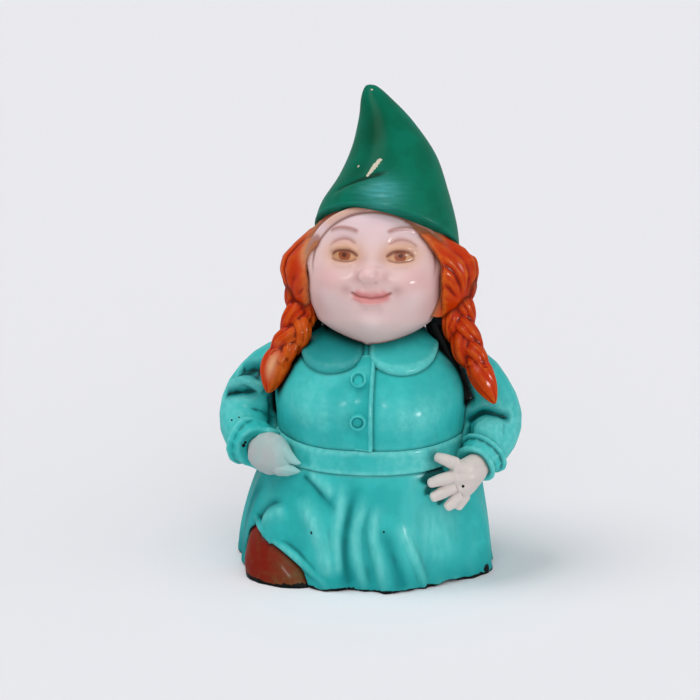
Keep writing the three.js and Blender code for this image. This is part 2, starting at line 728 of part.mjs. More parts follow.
// Hand: a palm with fingers and a wrist peg that runs back into the sleeve
function handBody(side, grow) {
  const { palm, half, along, back, fingers } = HANDS[side];
  const middle = besideBodice(side, palm);
  const ahead = new THREE.Vector3(...along).normalize();
  const across = new THREE.Vector3(...back).cross(ahead).normalize();
  const basis = new THREE.Matrix4().makeBasis(ahead, across, ahead.clone().cross(across));
  const turn = new THREE.Quaternion().setFromRotationMatrix(basis);
  const spot = ([a, c]) => middle.clone().addScaledVector(ahead, a).addScaledVector(across, c);
  const { wrist, tangent } = armOf(side);
  const pegEnd = wrist.clone().addScaledVector(tangent, -WRIST_PEG);
  return joined(
    ellipsoid(middle, half.map((size) => size + grow), turn, 14, 9),
    capsule(pegEnd, middle, WRIST_RADIUS + grow, 10),
    ...fingers.map(({ base, tip, radius }) => capsule(spot(base), spot(tip), radius + grow)),
  );
}

// Braid: lobes that sway and lean from side to side, then a tail
const fromHeadHeight = ([x, y, z]) => overWaist([x, y, HEAD_PLACE[2] + z]);
function braidBody(side) {
  const path = new THREE.CatmullRomCurve3(BRAID_ROUTES[side].map(fromHeadHeight));
  const length = path.getLength();
  const lobes = [];
  for (let i = 0; i < BRAID_LOBES; i += 1) {
    const share = ((i + BRAID_FIRST_LOBE) * (length - BRAID_TAIL_LENGTH)) / BRAID_LOBES / length;
    const tangent = path.getTangentAt(share);
    const swing = i % 2 ? 1 : -1;
    const aside = tangent.clone().cross(AHEAD).normalize();
    const middle = path.getPointAt(share).addScaledVector(aside, swing * BRAID_SWAY);
    const lean = new THREE.Quaternion().setFromAxisAngle(AHEAD, swing * BRAID_LEAN);
    const turn = new THREE.Quaternion().setFromUnitVectors(UP, tangent).premultiply(lean);
    lobes.push(ellipsoid(middle, [BRAID_LOBE_RADIUS, BRAID_LOBE_RADIUS, BRAID_LOBE_LENGTH], turn));
  }
  const tailShare = 1 - BRAID_TAIL_LENGTH / 2 / length;
  const turn = new THREE.Quaternion().setFromUnitVectors(UP, path.getTangentAt(tailShare));
  const half = [BRAID_TAIL_RADIUS, BRAID_TAIL_RADIUS, BRAID_TAIL_LENGTH / 2 + BRAID_TAIL_TUCK];
  return joined(...lobes, ellipsoid(path.getPointAt(tailShare), half, turn));
}

// Assembly
const gnome = new THREE.Group();
gnome.name = "gnome";
const headGroup = new THREE.Group();
headGroup.name = "head_group";
headGroup.position.copy(overWaist(HEAD_PLACE));
headGroup.rotation.set(HEAD_TILT, 0, 0);
headGroup.updateMatrix();
gnome.add(headGroup);
const fromHead = (body) => body.transform(headGroup.matrix.elements);
const toHead = (body) => body.transform(headGroup.matrix.clone().invert().elements);

function addPiece(group, name, body, slot) {
  const material = new THREE.MeshStandardMaterial({ name: slot, metalness: 0, ...PAINT[slot] });
  const piece = new THREE.Mesh(geometryOf(body), material);
  piece.name = name;
  group.add(piece);
  return piece;
}

// Dress: skirt, with the shoe under it
const spigotHole = upright(WAIST - SPIGOT_LENGTH - GLUE_GAP, WAIST + 1, SPIGOT_RADIUS + GLUE_GAP);
const skirt = cutBy(skirtBody(0), spigotHole, shoeBody(SHOE_GAP));
addPiece(gnome, "skirt", skirt, "turquoise");
addPiece(gnome, "shoe", shoeBody(0), "shoe_brown");

// Dress: bodice, waistband, placket and buttons
const headRoom = headBody(GLUE_GAP, 32, 18);
const headClear = fromHead(headRoom);
const bodiceClear = bodiceBody(GLUE_GAP);
const spigot = upright(WAIST - SPIGOT_LENGTH, WAIST + 1, SPIGOT_RADIUS);
addPiece(gnome, "bodice", joined(bodiceBody(0), spigot), "turquoise");
addPiece(gnome, "waistband", bandBody(0), "turquoise");
const collarRooms = Object.values(SIDES).map((turn) => collarBody(turn, GLUE_GAP));
addPiece(gnome, "placket", cutBy(placketBody(), ...collarRooms), "turquoise");
for (const [name, height] of Object.entries(BUTTON_HEIGHTS)) {
  const angle = frontAngle(PLACKET_SIDE, height);
  const button = addPiece(gnome, `button_${name}`, buttonBody(), "turquoise");
  button.position.copy(overBodice(angle, height, 2 * GLUE_GAP + STRIP_CREST * PLACKET_THICKNESS));
  button.quaternion.setFromUnitVectors(CAPSULE_AXIS, bodiceNormal(angle, height));
}
for (const [side, turn] of Object.entries(SIDES)) {
  addPiece(gnome, `collar_${side}`, cutBy(collarBody(turn, 0), bodiceClear, headClear), "turquoise");
}

// Head, hair and hat
const neckClear = toHead(bodiceClear);
addPiece(headGroup, "head", cutBy(joined(headBody(0), ...faceBodies()), neckClear), "skin");
const collarsClear = collarRooms.map(toHead);
addPiece(headGroup, "hair", cutBy(hairBody(0), headRoom, faceWindow(), neckClear, ...collarsClear), "hair");
addPiece(headGroup, "hat", cutBy(hatBody(), hairBody(GLUE_GAP), headRoom), "hat_green");

// Arms and braids
const bodyClear = [bodiceClear, bandBody(GLUE_GAP), skirtBody(GLUE_GAP)];
const hairClear = fromHead(hairBody(GLUE_GAP));
for (const side of Object.keys(SIDES)) {
  const handRoom = handBody(side, GLUE_GAP);
  const collarRoom = collarBody(SIDES[side], GLUE_GAP);
  const sleeve = cutBy(sleeveBody(side, 0), ...bodyClear, handRoom, collarRoom);
  addPiece(gnome, `sleeve_${side}`, sleeve, "turquoise");
  const cuff = cutBy(cuffBody(side), ...bodyClear, handRoom);
  addPiece(gnome, `cuff_${side}`, cuff, "turquoise");
  addPiece(gnome, `hand_${side}`, cutBy(handBody(side, 0), ...bodyClear), "skin");
  const braidClear = [hairClear, headClear, bodiceClear, collarRoom, sleeveBody(side, GLUE_GAP)];
  addPiece(gnome, `braid_${side}`, cutBy(braidBody(side), ...braidClear), "hair");
}

export default gnome;
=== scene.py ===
# Looks of a hand-painted gnome figurine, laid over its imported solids.
# Sizes are in millimetres in the figurine's own frame, and become metres where a mesh is written.
import math
from collections import namedtuple

import bmesh
import bpy
import numpy as np
from mathutils import Matrix, Vector
from mathutils.bvhtree import BVHTree
from mathutils.kdtree import KDTree


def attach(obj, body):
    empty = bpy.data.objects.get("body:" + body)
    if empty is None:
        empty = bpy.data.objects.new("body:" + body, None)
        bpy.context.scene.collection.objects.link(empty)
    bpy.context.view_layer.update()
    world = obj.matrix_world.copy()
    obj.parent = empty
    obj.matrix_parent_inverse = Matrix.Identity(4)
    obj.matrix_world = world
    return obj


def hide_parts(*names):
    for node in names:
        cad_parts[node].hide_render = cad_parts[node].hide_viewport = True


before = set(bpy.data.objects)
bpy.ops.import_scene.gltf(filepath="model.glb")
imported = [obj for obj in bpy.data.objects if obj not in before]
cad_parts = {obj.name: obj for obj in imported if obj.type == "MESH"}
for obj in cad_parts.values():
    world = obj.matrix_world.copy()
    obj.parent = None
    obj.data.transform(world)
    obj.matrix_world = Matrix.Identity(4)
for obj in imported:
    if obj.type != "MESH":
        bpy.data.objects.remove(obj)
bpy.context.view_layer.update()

MM = 0.001

# The camera, fitted to the figurine's outline
CAMERA_AZIMUTH = math.radians(6)
CAMERA_ELEVATION = math.radians(14)
CAMERA_DISTANCE = 480
CAMERA_TARGET = Vector((-5.3, 0, 52.1))
CAMERA_LENS = 102.7

# The head's own frame: its face looks along its -Y
HEAD_MIDDLE = Vector((1, -2.2, 74.2))
HEAD_TILT = math.radians(-8)
HEAD_TURN = np.array(Matrix.Rotation(HEAD_TILT, 3, "X"))

# A line drawn on a surface: its points, its half width, how far it rises, and the share of its
# length over which each end fades out
Stroke = namedtuple("Stroke", "path width rise fade_start fade_end", defaults=(0.2, 0.2))


# Shares and masks

def ramp(values, start, end):
    """A share that runs from 0 at start to 1 at end and stays between them."""
    return np.clip((values - start) / (end - start), 0, 1)


def hump(values, middle, width):
    """1 at the middle, fading to 0 over a width on both sides."""
    return np.exp(-((values - middle) / width) ** 2)


def spread_evenly(values, count):
    """A few values spread evenly over a line, as one for each of its points."""
    return np.interp(np.linspace(0, 1, count), np.linspace(0, 1, len(values)), values)


# Reading and writing meshes

def link(name, mesh):
    piece = bpy.data.objects.new(name, mesh)
    bpy.context.scene.collection.objects.link(piece)
    return piece


def shown_mesh(piece):
    """A new mesh of a piece as it shows."""
    shown = piece.evaluated_get(bpy.context.evaluated_depsgraph_get())
    return bpy.data.meshes.new_from_object(shown)


def settle(piece):
    """Turns a piece's modifiers into its mesh."""
    mesh = shown_mesh(piece)
    piece.modifiers.clear()
    piece.data = mesh


def read(mesh, field):
    values = np.empty(len(mesh.vertices) * 3, np.float32)
    mesh.vertices.foreach_get(field, values)
    return values.reshape(-1, 3).astype(float)


def points(piece):
    return read(piece.data, "co") / MM


def normals(piece):
    return read(piece.data, "normal")


def place(piece, co):
    piece.data.vertices.foreach_set("co", (co * MM).astype(np.float32).ravel())
    piece.data.update()


def swell(piece, amount):
    """Moves every point along its normal, by one amount or by an amount each."""
    amount = np.broadcast_to(amount, len(piece.data.vertices))
    place(piece, points(piece) + normals(piece) * amount[:, None])


def store(piece, name, values):
    layer = piece.data.attributes.new(name, "FLOAT", "POINT")
    layer.data.foreach_set("value", np.clip(values, 0, 1).astype(np.float32))


def store_colour(piece, name, colour):
    layer = piece.data.attributes.new(name, "FLOAT_COLOR", "POINT")
    full = np.ones((len(colour), 4), np.float32)
    full[:, :3] = colour
    layer.data.foreach_set("color", full.ravel())


def surface(piece):
    return BVHTree.FromObject(piece, bpy.context.evaluated_depsgraph_get())


def nearest(tree, point):
    return np.array(tree.find_nearest(Vector(point) * MM)[0]) / MM


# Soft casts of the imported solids

# An edge that turns by more than this, in radians, is a corner, and points this far apart stand for it
SHARP_ANGLE = 0.9
SHARP_STEP = 0.3
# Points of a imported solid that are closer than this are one
WELD = 0.01
# Rounds that smooth away the steps of the cells before the corners are held
FIRST_ROUNDS = 4


def copied(node):
    mesh = bmesh.new()
    mesh.from_mesh(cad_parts[node].data)
    bmesh.ops.remove_doubles(mesh, verts=mesh.verts, dist=WELD * MM)
    return mesh


def corner_points(mesh):
    """Points along the edges where faces meet at a real corner and not only at a facet."""
    found = []
    for edge in mesh.edges:
        if len(edge.link_faces) != 2 or edge.calc_face_angle() < SHARP_ANGLE:
            continue
        start, end = (vert.co.copy() for vert in edge.verts)
        steps = max(int(edge.calc_length() / MM / SHARP_STEP), 1)
        found += [start.lerp(end, step / steps) for step in range(steps + 1)]
    return found


def keep_corners(piece, corners, reach):
    """A vertex group that is 0 at the corners and 1 away from them."""
    tree = KDTree(len(corners))
    for index, corner in enumerate(corners):
        tree.insert(corner, index)
    tree.balance()
    group = piece.vertex_groups.new(name="soft")
    for vert in piece.data.vertices:
        away = tree.find(vert.co)[2] / MM
        group.add([vert.index], min(away / reach, 1.0) ** 2, "REPLACE")


def remesh(piece, cell):
    """Rebuilds the surface of a piece from even cells."""
    cells = piece.modifiers.new("cells", "REMESH")
    cells.mode = "VOXEL"
    cells.voxel_size = cell * MM
    cells.use_smooth_shade = True
    settle(piece)


def soften(piece, rounds, group=""):
    smooth = piece.modifiers.new("smooth", "SMOOTH")
    smooth.factor = 0.5
    smooth.iterations = rounds
    smooth.vertex_group = group


def melt(piece, cell, rounds):
    """Fuses what overlaps in a piece, and rounds it."""
    remesh(piece, cell)
    soften(piece, rounds)
    settle(piece)


def from_bmesh(name, mesh):
    data = bpy.data.meshes.new(name)
    mesh.to_mesh(data)
    mesh.free()
    return link(name, data)


def tube(name, line, radii):
    """The mesh of a tube along a line, with its radii spread evenly over it."""
    curve = bpy.data.curves.new(name, "CURVE")
    curve.dimensions = "3D"
    curve.bevel_depth = MM
    curve.bevel_resolution = 5
    curve.use_fill_caps = True
    spline = curve.splines.new("POLY")
    spline.points.add(len(line) - 1)
    for point, where, radius in zip(spline.points, line, spread_evenly(radii, len(line))):
        point.co = (*(where * MM), 1)
        point.radius = radius
    piece = link(name, curve)
    mesh = shown_mesh(piece)
    bpy.data.objects.remove(piece)
    return mesh


def joined(name, meshes):
    """One piece that holds several meshes."""
    whole = bmesh.new()
    for mesh in meshes:
        whole.from_mesh(mesh)
    return from_bmesh(name, whole)


def cast(node, cell, rounds, crisp=0.0):
    """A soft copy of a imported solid, with its corners kept within a reach of crisp."""
    mesh = copied(node)
    corners = corner_points(mesh) if crisp else []
    piece = from_bmesh("look_" + node, mesh)
    remesh(piece, cell)
    soften(piece, FIRST_ROUNDS)
    if corners:
        keep_corners(piece, corners, crisp)
    soften(piece, rounds, "soft" if corners else "")
    settle(piece)
    piece.vertex_groups.clear()
    return piece


def cast_hull(node, cell, rounds):
    """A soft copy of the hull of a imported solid, which closes its bore."""
    solid = copied(node)
    mesh = bmesh.new()
    for vert in solid.verts:
        mesh.verts.new(vert.co)
    solid.free()
    hull = bmesh.ops.convex_hull(mesh, input=mesh.verts)
    inner = [item for item in hull["geom_interior"] if isinstance(item, bmesh.types.BMVert)]
    bmesh.ops.delete(mesh, geom=inner, context="VERTS")
    piece = from_bmesh("look_" + node, mesh)
    melt(piece, cell, rounds)
    return piece


# Drawing on surfaces

def smooth_path(path, steps=8):
    """A smooth line through the points of a path."""
    path = np.array(path, float)
    if len(path) == 2:
        return path
    full = np.vstack([2 * path[0] - path[1], path, 2 * path[-1] - path[-2]])
    line = []
    for before, start, end, after in zip(full, full[1:], full[2:], full[3:]):
        for step in range(steps):
            t = step / steps
            line.append(0.5 * (2 * start + (end - before) * t
                               + (2 * before - 5 * start + 4 * end - after) * t ** 2
                               + (3 * start - before - 3 * end + after) * t ** 3))
    return np.array(line + [path[-1]])


def along(line, co):
    """How far each point is from a line, and at what share of the line's length."""
    lengths = np.linalg.norm(np.diff(line, axis=0), axis=1)
    starts = np.concatenate([[0], np.cumsum(lengths)])
    away = np.full(len(co), np.inf)
    share = np.zeros(len(co))
    for index, (start, end) in enumerate(zip(line, line[1:])):
        step = end - start
        t = np.clip((co - start) @ step / max(step @ step, 1e-9), 0, 1)
        gap = np.linalg.norm(co - start - t[:, None] * step, axis=1)
        near = gap < away
        away[near] = gap[near]
        share[near] = (starts[index] + t[near] * lengths[index]) / max(starts[-1], 1e-9)
    return away, share


def stroke_mask(co, line, width, fade_start=0.1, fade_end=0.1):
    """1 on a line, fading over a width beside it and over a share of its length at its ends."""
    away, share = along(line, co)
    mask = hump(away, 0, width)
    if fade_start:
        mask *= ramp(share, 0, fade_start)
    if fade_end:
        mask *= ramp(share, 1, 1 - fade_end)
    return mask


def raised(co, line, stroke):
    """How far each point rises for a stroke that is drawn along a line."""
    return stroke.rise * stroke_mask(co, line, stroke.width, stroke.fade_start, stroke.fade_end)


def sculpt(piece, strokes):
    """Raises ridges and cuts grooves along strokes given near the piece's surface."""
    co = points(piece)
    tree = surface(piece)
    rise = np.zeros(len(co))
    for stroke in strokes:
        rise += raised(co, smooth_path([nearest(tree, point) for point in stroke.path]), stroke)
    swell(piece, rise)


def bump_at(co, middle, size):
    """A soft round mask about a point; size is one radius or a radius each way."""
    return np.exp(-((((co - np.array(middle)) / np.array(size)) ** 2).sum(axis=1)))


def hollows(piece, rounds):
    """How far each point lies below the average of its surroundings."""
    mesh = piece.data
    co = points(piece)
    ends = np.empty(len(mesh.edges) * 2, np.int32)
    mesh.edges.foreach_get("vertices", ends)
    first, second = ends.reshape(-1, 2).T
    size = len(co)
    count = np.bincount(first, minlength=size) + np.bincount(second, minlength=size)
    mean = co
    for _ in range(rounds):
        total = [np.bincount(first, mean[second, axis], size) + np.bincount(second, mean[first, axis], size)
                 for axis in range(3)]
        mean = np.stack(total, axis=1) / np.maximum(count, 1)[:, None]
    return ((mean - co) * normals(piece)).sum(axis=1)


def within(co, other, reach):
    """The indices of the points in another piece's box, grown by a reach."""
    limits = points(other)
    inside = (co > limits.min(axis=0) - reach) & (co < limits.max(axis=0) + reach)
    return np.flatnonzero(inside.all(axis=1))


def contact(piece, others, reach):
    """A mask that is 1 where another piece touches and fades over a reach."""
    co = points(piece)
    close = np.full(len(co), np.inf)
    far = 3 * reach
    for other in others:
        tree = surface(other)
        for index in within(co, other, far):
            away = tree.find_nearest(Vector(co[index]) * MM, far * MM)[3]
            if away is not None:
                close[index] = min(close[index], away / MM)
    return hump(close, 0, reach)


def cling(piece, other, reach, sink):
    """Draws the points of a piece that lie near another on to it, so that no gap shows."""
    co = points(piece)
    tree = surface(other)
    for index in within(co, other, reach):
        spot, normal, _, away = tree.find_nearest(Vector(co[index]) * MM, reach * MM)
        if spot is None:
            continue
        share = 1 - (away / MM / reach) ** 2
        goal = np.array(spot) / MM - np.array(normal) * sink
        co[index] += (goal - co[index]) * share
    place(piece, co)


# Paint

def rgb(red, green, blue):
    """A paint colour, given as it looks on a screen, as light amounts."""
    share = np.array([red, green, blue]) / 255
    return np.where(share <= 0.04045, share / 12.92, ((share + 0.055) / 1.055) ** 2.4)


# Sizes of the patches in the paint: blotches, brush streaks, grain, and the rags of chips and of the hem
BLOTCH, STREAK, GRAIN, CHIP_RAG, HEM_RAG = 7, 1.4, 0.35, 0.6, 2.2
# How far a chip is ragged, and where its edge begins and ends, in shares of its radius
CHIP_RAGGED, CHIP_EDGE = 1.2, (1.45, 1.75)
# How far the bare hem is ragged, and how soft its edge is
HEM_RAGGED, HEM_SOFT = 2.0, 0.2
# The most that blotches shade a paint, and how much of that shows on the face
BLOTCH_SHADE, FACE_BLOTCH = 0.28, 0.25
# Where blotches and streaks begin and where they are full, in their noise
BLOTCH_EDGE, STREAK_EDGE = (0.42, 0.62), (0.25, 0.75)
# The share of a dry-brushed light that shows between the streaks
BRUSH_LOW = 0.45
# How far the grain rises against the streaks
GRAIN_RELIEF = 0.5
PAINT_ROUGHNESS, PAINT_SPECULAR = 0.5, 0.02


class Paint:
    """A paint shader and the node tree that it is built in."""

    def __init__(self, name):
        self.material = bpy.data.materials.new(name)
        self.material.use_nodes = True
        self.tree = self.material.node_tree
        self.tree.nodes.clear()
        self.shader = self.add("ShaderNodeBsdfPrincipled")
        output = self.add("ShaderNodeOutputMaterial")
        self.tree.links.new(self.shader.outputs[0], output.inputs[0])
        self.where = self.add("ShaderNodeTexCoord").outputs["Object"]

    def add(self, kind, **settings):
        node = self.tree.nodes.new(kind)
        for key, value in settings.items():
            setattr(node, key, value)
        return node

    def feed(self, socket, value):
        if isinstance(value, bpy.types.NodeSocket):
            self.tree.links.new(value, socket)
        elif isinstance(value, np.ndarray) and socket.type == "RGBA":
            socket.default_value = (*value, 1)
        else:
            socket.default_value = value

    def math(self, operation, first, second=0.0):
        node = self.add("ShaderNodeMath", operation=operation)
        self.feed(node.inputs[0], first)
        self.feed(node.inputs[1], second)
        return node.outputs[0]

    def mix(self, share, first, second):
        node = self.add("ShaderNodeMix", data_type="RGBA")
        self.feed(node.inputs[0], share)
        self.feed(node.inputs[6], first)
        self.feed(node.inputs[7], second)
        return node.outputs[2]

    def spread(self, value, low, high, start=0.0, end=1.0):
        """Maps a value from low..high to start..end with soft ends."""
        node = self.add("ShaderNodeMapRange", interpolation_type="SMOOTHSTEP")
        for socket, amount in zip(node.inputs, (value, low, high, start, end)):
            self.feed(socket, amount)
        return node.outputs[0]

    def noise(self, size, detail=3.0, stretch=(1, 1, 1), turn=(0, 0, 0)):
        """Cloudy noise with patches of about a size, longer along an axis with a larger stretch."""
        mapping = self.add("ShaderNodeMapping")
        self.feed(mapping.inputs["Vector"], self.where)
        mapping.inputs["Rotation"].default_value = turn
        mapping.inputs["Scale"].default_value = [1 / (size * MM * part) for part in stretch]
        node = self.add("ShaderNodeTexNoise")
        self.feed(node.inputs["Vector"], mapping.outputs[0])
        node.inputs["Scale"].default_value = 1
        node.inputs["Detail"].default_value = detail
        node.inputs["Roughness"].default_value = 0.55
        return node.outputs["Fac"]

    def attribute(self, name, output="Fac"):
        return self.add("ShaderNodeAttribute", attribute_name=name).outputs[output]

    def spot(self, middle, radius, ragged):
        """A mask of a ragged spot about a point."""
        node = self.add("ShaderNodeVectorMath", operation="DISTANCE")
        self.feed(node.inputs[0], self.where)
        node.inputs[1].default_value = Vector(middle) * MM
        edge = self.math("MULTIPLY", ragged, radius * MM * CHIP_RAGGED)
        gap = self.math("ADD", node.outputs["Value"], edge)
        inner, outer = (radius * MM * share for share in CHIP_EDGE)
        return self.spread(gap, inner, outer, 1.0, 0.0)

    def hem(self, height):
        """A mask of what lies below a ragged line at about a height."""
        split = self.add("ShaderNodeSeparateXYZ")
        self.feed(split.inputs[0], self.where)
        edge = self.math("MULTIPLY", self.noise(HEM_RAG), HEM_RAGGED * MM)
        level = self.math("ADD", split.outputs[2], edge)
        return self.spread(level, height * MM, (height + HEM_SOFT) * MM, 1.0, 0.0)

    def bump(self, height, depth):
        node = self.add("ShaderNodeBump")
        node.inputs["Strength"].default_value = 1
        node.inputs["Distance"].default_value = depth * MM
        self.feed(node.inputs["Height"], height)
        self.feed(self.shader.inputs["Normal"], node.outputs[0])

    def finish(self, sockets):
        """Sets sockets of the shader, and gives the finished material."""
        for name, value in sockets.items():
            self.feed(self.shader.inputs[name], value)
        return self.material


# A coat of paint: its colour, the darker and the lighter one, which also paint shade and highlights, the wash
# in its hollows, which also paints shade there and between parts, and how rough its varnish is
Coat = namedtuple("Coat", "base shade light wash gloss")

TURQUOISE = Coat(rgb(52, 190, 188), rgb(14, 146, 148), rgb(112, 216, 212), rgb(0, 50, 48), 0.2)
HAT_GREEN = Coat(rgb(0, 112, 86), rgb(0, 68, 42), rgb(84, 178, 180), rgb(0, 34, 20), 0.22)
SKIN = Coat(rgb(234, 202, 199), rgb(222, 178, 172), rgb(240, 214, 212), rgb(150, 84, 62), 0.22)
HAIR = Coat(rgb(198, 48, 0), rgb(152, 30, 0), rgb(216, 100, 24), rgb(80, 14, 2), 0.18)
SHOE_BROWN = Coat(rgb(126, 22, 8), rgb(98, 14, 6), rgb(108, 78, 44), rgb(26, 6, 2), 0.2)
HAND_GREY = Coat(rgb(176, 184, 184), rgb(140, 204, 200), rgb(208, 212, 210), rgb(40, 120, 116), 0.26)
HAND_PALE = Coat(rgb(216, 206, 201), rgb(192, 192, 186), rgb(232, 222, 216), rgb(30, 76, 66), 0.26)
# Black of the bare casting, in chips, on the hem and in the slots, where it also paints their shadow
BARE_BLACK_AND_SHADOW = rgb(12, 14, 14)
CHIP_PALE = rgb(214, 204, 184)
LIGHT_FLESH = rgb(232, 176, 130)


def painted(name, coat, chips=(), pale_chips=(), bare_hem=0.0, tint=False, bare_flesh=False, slots=False,
            grain=0.02, brush=(1, 1, 1), varnish=0.13):
    """A brushed paint: dark wash and painted shade in hollows, dry-brushed light and painted highlights on
    ridges, chips to the casting.
    """
    paint = Paint(name)
    blotch = paint.noise(BLOTCH)
    streak = paint.noise(STREAK, stretch=brush)
    fine = paint.noise(GRAIN, detail=2)
    base = paint.attribute("tint", "Color") if tint else coat.base
    colour = paint.mix(paint.spread(blotch, *BLOTCH_EDGE, 0.0, BLOTCH_SHADE), base, coat.shade)
    if tint:
        colour = paint.mix(FACE_BLOTCH, base, colour)
    streaks = paint.spread(streak, *STREAK_EDGE, BRUSH_LOW, 1.0)
    # Lighter paint for dry-brushing and painted highlights, darker paint for painted shade, the wash that
    # also paints shade, and black in the slots as bare casting and painted shadow
    layers = [(paint.math("MULTIPLY", paint.attribute("rub_and_highlight"), streaks), coat.light),
              (paint.attribute("deep"), coat.shade), (paint.attribute("wash"), coat.wash)]
    if bare_flesh:
        layers.append((paint.attribute("flesh"), LIGHT_FLESH))
    if slots:
        layers.append((paint.attribute("slot"), BARE_BLACK_AND_SHADOW))
    ragged = paint.noise(CHIP_RAG)
    layers += [(paint.spot(middle, radius, ragged), BARE_BLACK_AND_SHADOW) for middle, radius in chips]
    layers += [(paint.spot(middle, radius, ragged), CHIP_PALE) for middle, radius in pale_chips]
    if bare_hem:
        layers.append((paint.hem(bare_hem), BARE_BLACK_AND_SHADOW))
    for mask, over in layers:
        colour = paint.mix(mask, colour, over)
    paint.bump(paint.math("ADD", streak, paint.math("MULTIPLY", fine, GRAIN_RELIEF)), grain)
    return paint.finish({"Base Color": colour, "Roughness": PAINT_ROUGHNESS,
                         "Specular IOR Level": PAINT_SPECULAR, "Coat Weight": varnish,
                         "Coat Roughness": coat.gloss})


def finish_piece(piece, node, slot, material):
    piece.data.materials.clear()
    piece.data.materials.append(material)
    piece.data.shade_smooth()
    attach(piece, "root")
    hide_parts(node)


# Rounds of averaging that find fine and broad hollows, and how much deeper the broad ones are
FINE_ROUNDS, BROAD_ROUNDS, BROAD_DEPTH = 6, 60, 9
# The most that the wash and painted shade show in fine hollows, and the dry-brushed light and painted
# highlights on fine and on broad ridges, and the depths and heights between which the fine ones grow
WASH_AND_SHADE_MOST, RUB_AND_HIGHLIGHT_FINE, RUB_AND_HIGHLIGHT_BROAD = 0.7, 0.6, 0.3
WASH_AND_SHADE_DEPTHS, RUB_AND_HIGHLIGHT_HEIGHTS = (0.2, 1.2), (0.3, 1.3)


def mark_shade_and_highlights(piece, depth, touches, ridge_light_share):
    """Marks the dark wash and painted shade in hollows and between parts, dry-brushed light and painted
    highlights on ridges, and painted shade in the broad hollows.

    A touch is a list of neighbours, the reach of the wash and painted shade along them and its strength."""
    fine = hollows(piece, FINE_ROUNDS) / depth
    broad = hollows(piece, BROAD_ROUNDS) / (depth * BROAD_DEPTH)
    wash = WASH_AND_SHADE_MOST * ramp(fine, *WASH_AND_SHADE_DEPTHS)
    for neighbours, reach, strength in touches:
        wash = np.maximum(wash, strength * contact(piece, neighbours, reach))
    store(piece, "wash", wash)
    ridges = RUB_AND_HIGHLIGHT_FINE * ramp(-fine, *RUB_AND_HIGHLIGHT_HEIGHTS) + RUB_AND_HIGHLIGHT_BROAD * np.clip(-broad, 0, 1)
    store(piece, "rub_and_highlight", ridge_light_share * ridges)
    store(piece, "deep", broad)


def deepen(piece, name, mask):
    """Adds a mask to one of a piece's stored marks."""
    layer = piece.data.attributes[name].data
    values = np.empty(len(layer), np.float32)
    layer.foreach_get("value", values)
    layer.foreach_set("value", np.clip(values + mask, 0, 1).astype(np.float32))


# The dress

SKIRT_FOLDS = (
    Stroke([(-14.8, -19.7, 27), (-11.9, -21.7, 25.1), (-8.4, -23.7, 22), (-5, -24, 19)], 0.8, -0.5, 0.1, 0.5),
    Stroke([(-12.6, -20, 27.4), (-9.4, -22, 25.6), (-6, -23.7, 23)], 1.3, 0.4),
    Stroke([(-18.4, -19.8, 20), (-22.2, -18, 18.6), (-24.8, -15.4, 15), (-26.4, -13, 10)], 1.0, -0.6),
    Stroke([(-17.6, -20, 17.6), (-21.2, -18.4, 16.2), (-23.6, -16.6, 13)], 1.5, 0.6),
    Stroke([(-24, -12, 23), (-27.4, -10, 17), (-29, -9, 9), (-29.6, -9, 0.4)], 1.3, -0.6, 0.4, 0),
    Stroke([(-15, -21.5, 22), (-11.8, -23.9, 17), (-9.2, -25.3, 11.2), (-7.2, -25.7, 3)], 1.7, 0.8, 0.3),
    Stroke([(-4.4, -23.7, 27), (-5, -24.6, 19.9), (-6, -25.2, 12.7), (-5.4, -25.4, 3.4)], 0.9, 0.5, 0.4),
    Stroke([(-0.5, -23.8, 27), (-2.4, -24.3, 21.4), (-3.6, -24.8, 15.1), (-4, -25, 9), (-3, -24.8, 0.4)],
           1.2, -0.4, 0.4, 0),
    Stroke([(1, -23.8, 24), (-0.6, -24.3, 18), (-1.3, -24.8, 14), (-1, -25, 8), (0.8, -24.8, 0.4)],
           1.0, 0.6, 0.4, 0),
    Stroke([(4.2, -24.2, 22), (2.9, -24.4, 17), (2.9, -24.6, 13), (4.4, -25, 6.6), (5.6, -25.5, 0.4)],
           1.0, 0.7, 0.4, 0),
    Stroke([(5, -24.2, 16), (6.6, -24.7, 11), (8.6, -24.9, 5), (9.6, -24.7, 0.4)], 1.3, -0.5, 0.5, 0),
    Stroke([(8.4, -24, 17), (11, -23, 10.6), (13.2, -21.5, 4.4), (14.4, -20.9, 0.4)], 0.9, 0.8, 0.5, 0),
)
# The skirt's left side is one smooth sheet: two ridges fill the folds there and a groove takes off a
# lobe, before it is smoothed
SIDE_FILL = (Stroke([(27.2, -6, 20), (28.2, -6, 10), (28.8, -6, 0.4)], 3.2, 2.4, 0.5, 0),
             Stroke([(24.6, -13.4, 8), (24.6, -13, 3), (24.8, -12.6, 0.4)], 2.4, 1.5, 0.5, 0),
             Stroke([(19.4, -19, 8), (20.4, -18.4, 3), (20.8, -18.2, 0.4)], 2.6, -1.8, 0.5, 0))
# Where that smoothing starts and where it is full, across and up, and how far back it goes
SIDE_ACROSS, SIDE_UP, SIDE_BACK = (14, 18), (0.6, 2.6), 3
SIDE_ROUNDS = 260
# The room that the shoe has in its pocket
SHOE_ROOM = 0.8
# The thick edge of the lifted hem, which hangs over the shoe
HEM_FOLD = [(-26.4, -12.4, 13.4), (-24.6, -16.8, 12.4), (-21.5, -19, 10.5), (-18.8, -20.5, 9),
            (-15.4, -22.2, 6.9), (-12.2, -23.7, 4.7), (-9.2, -25, 2.4), (-8, -25.3, 0.3)]
HEM_FOLD_RADII = (0.7, 1.0, 1.1, 1.1, 1.1, 1.1, 1.0, 0.9)
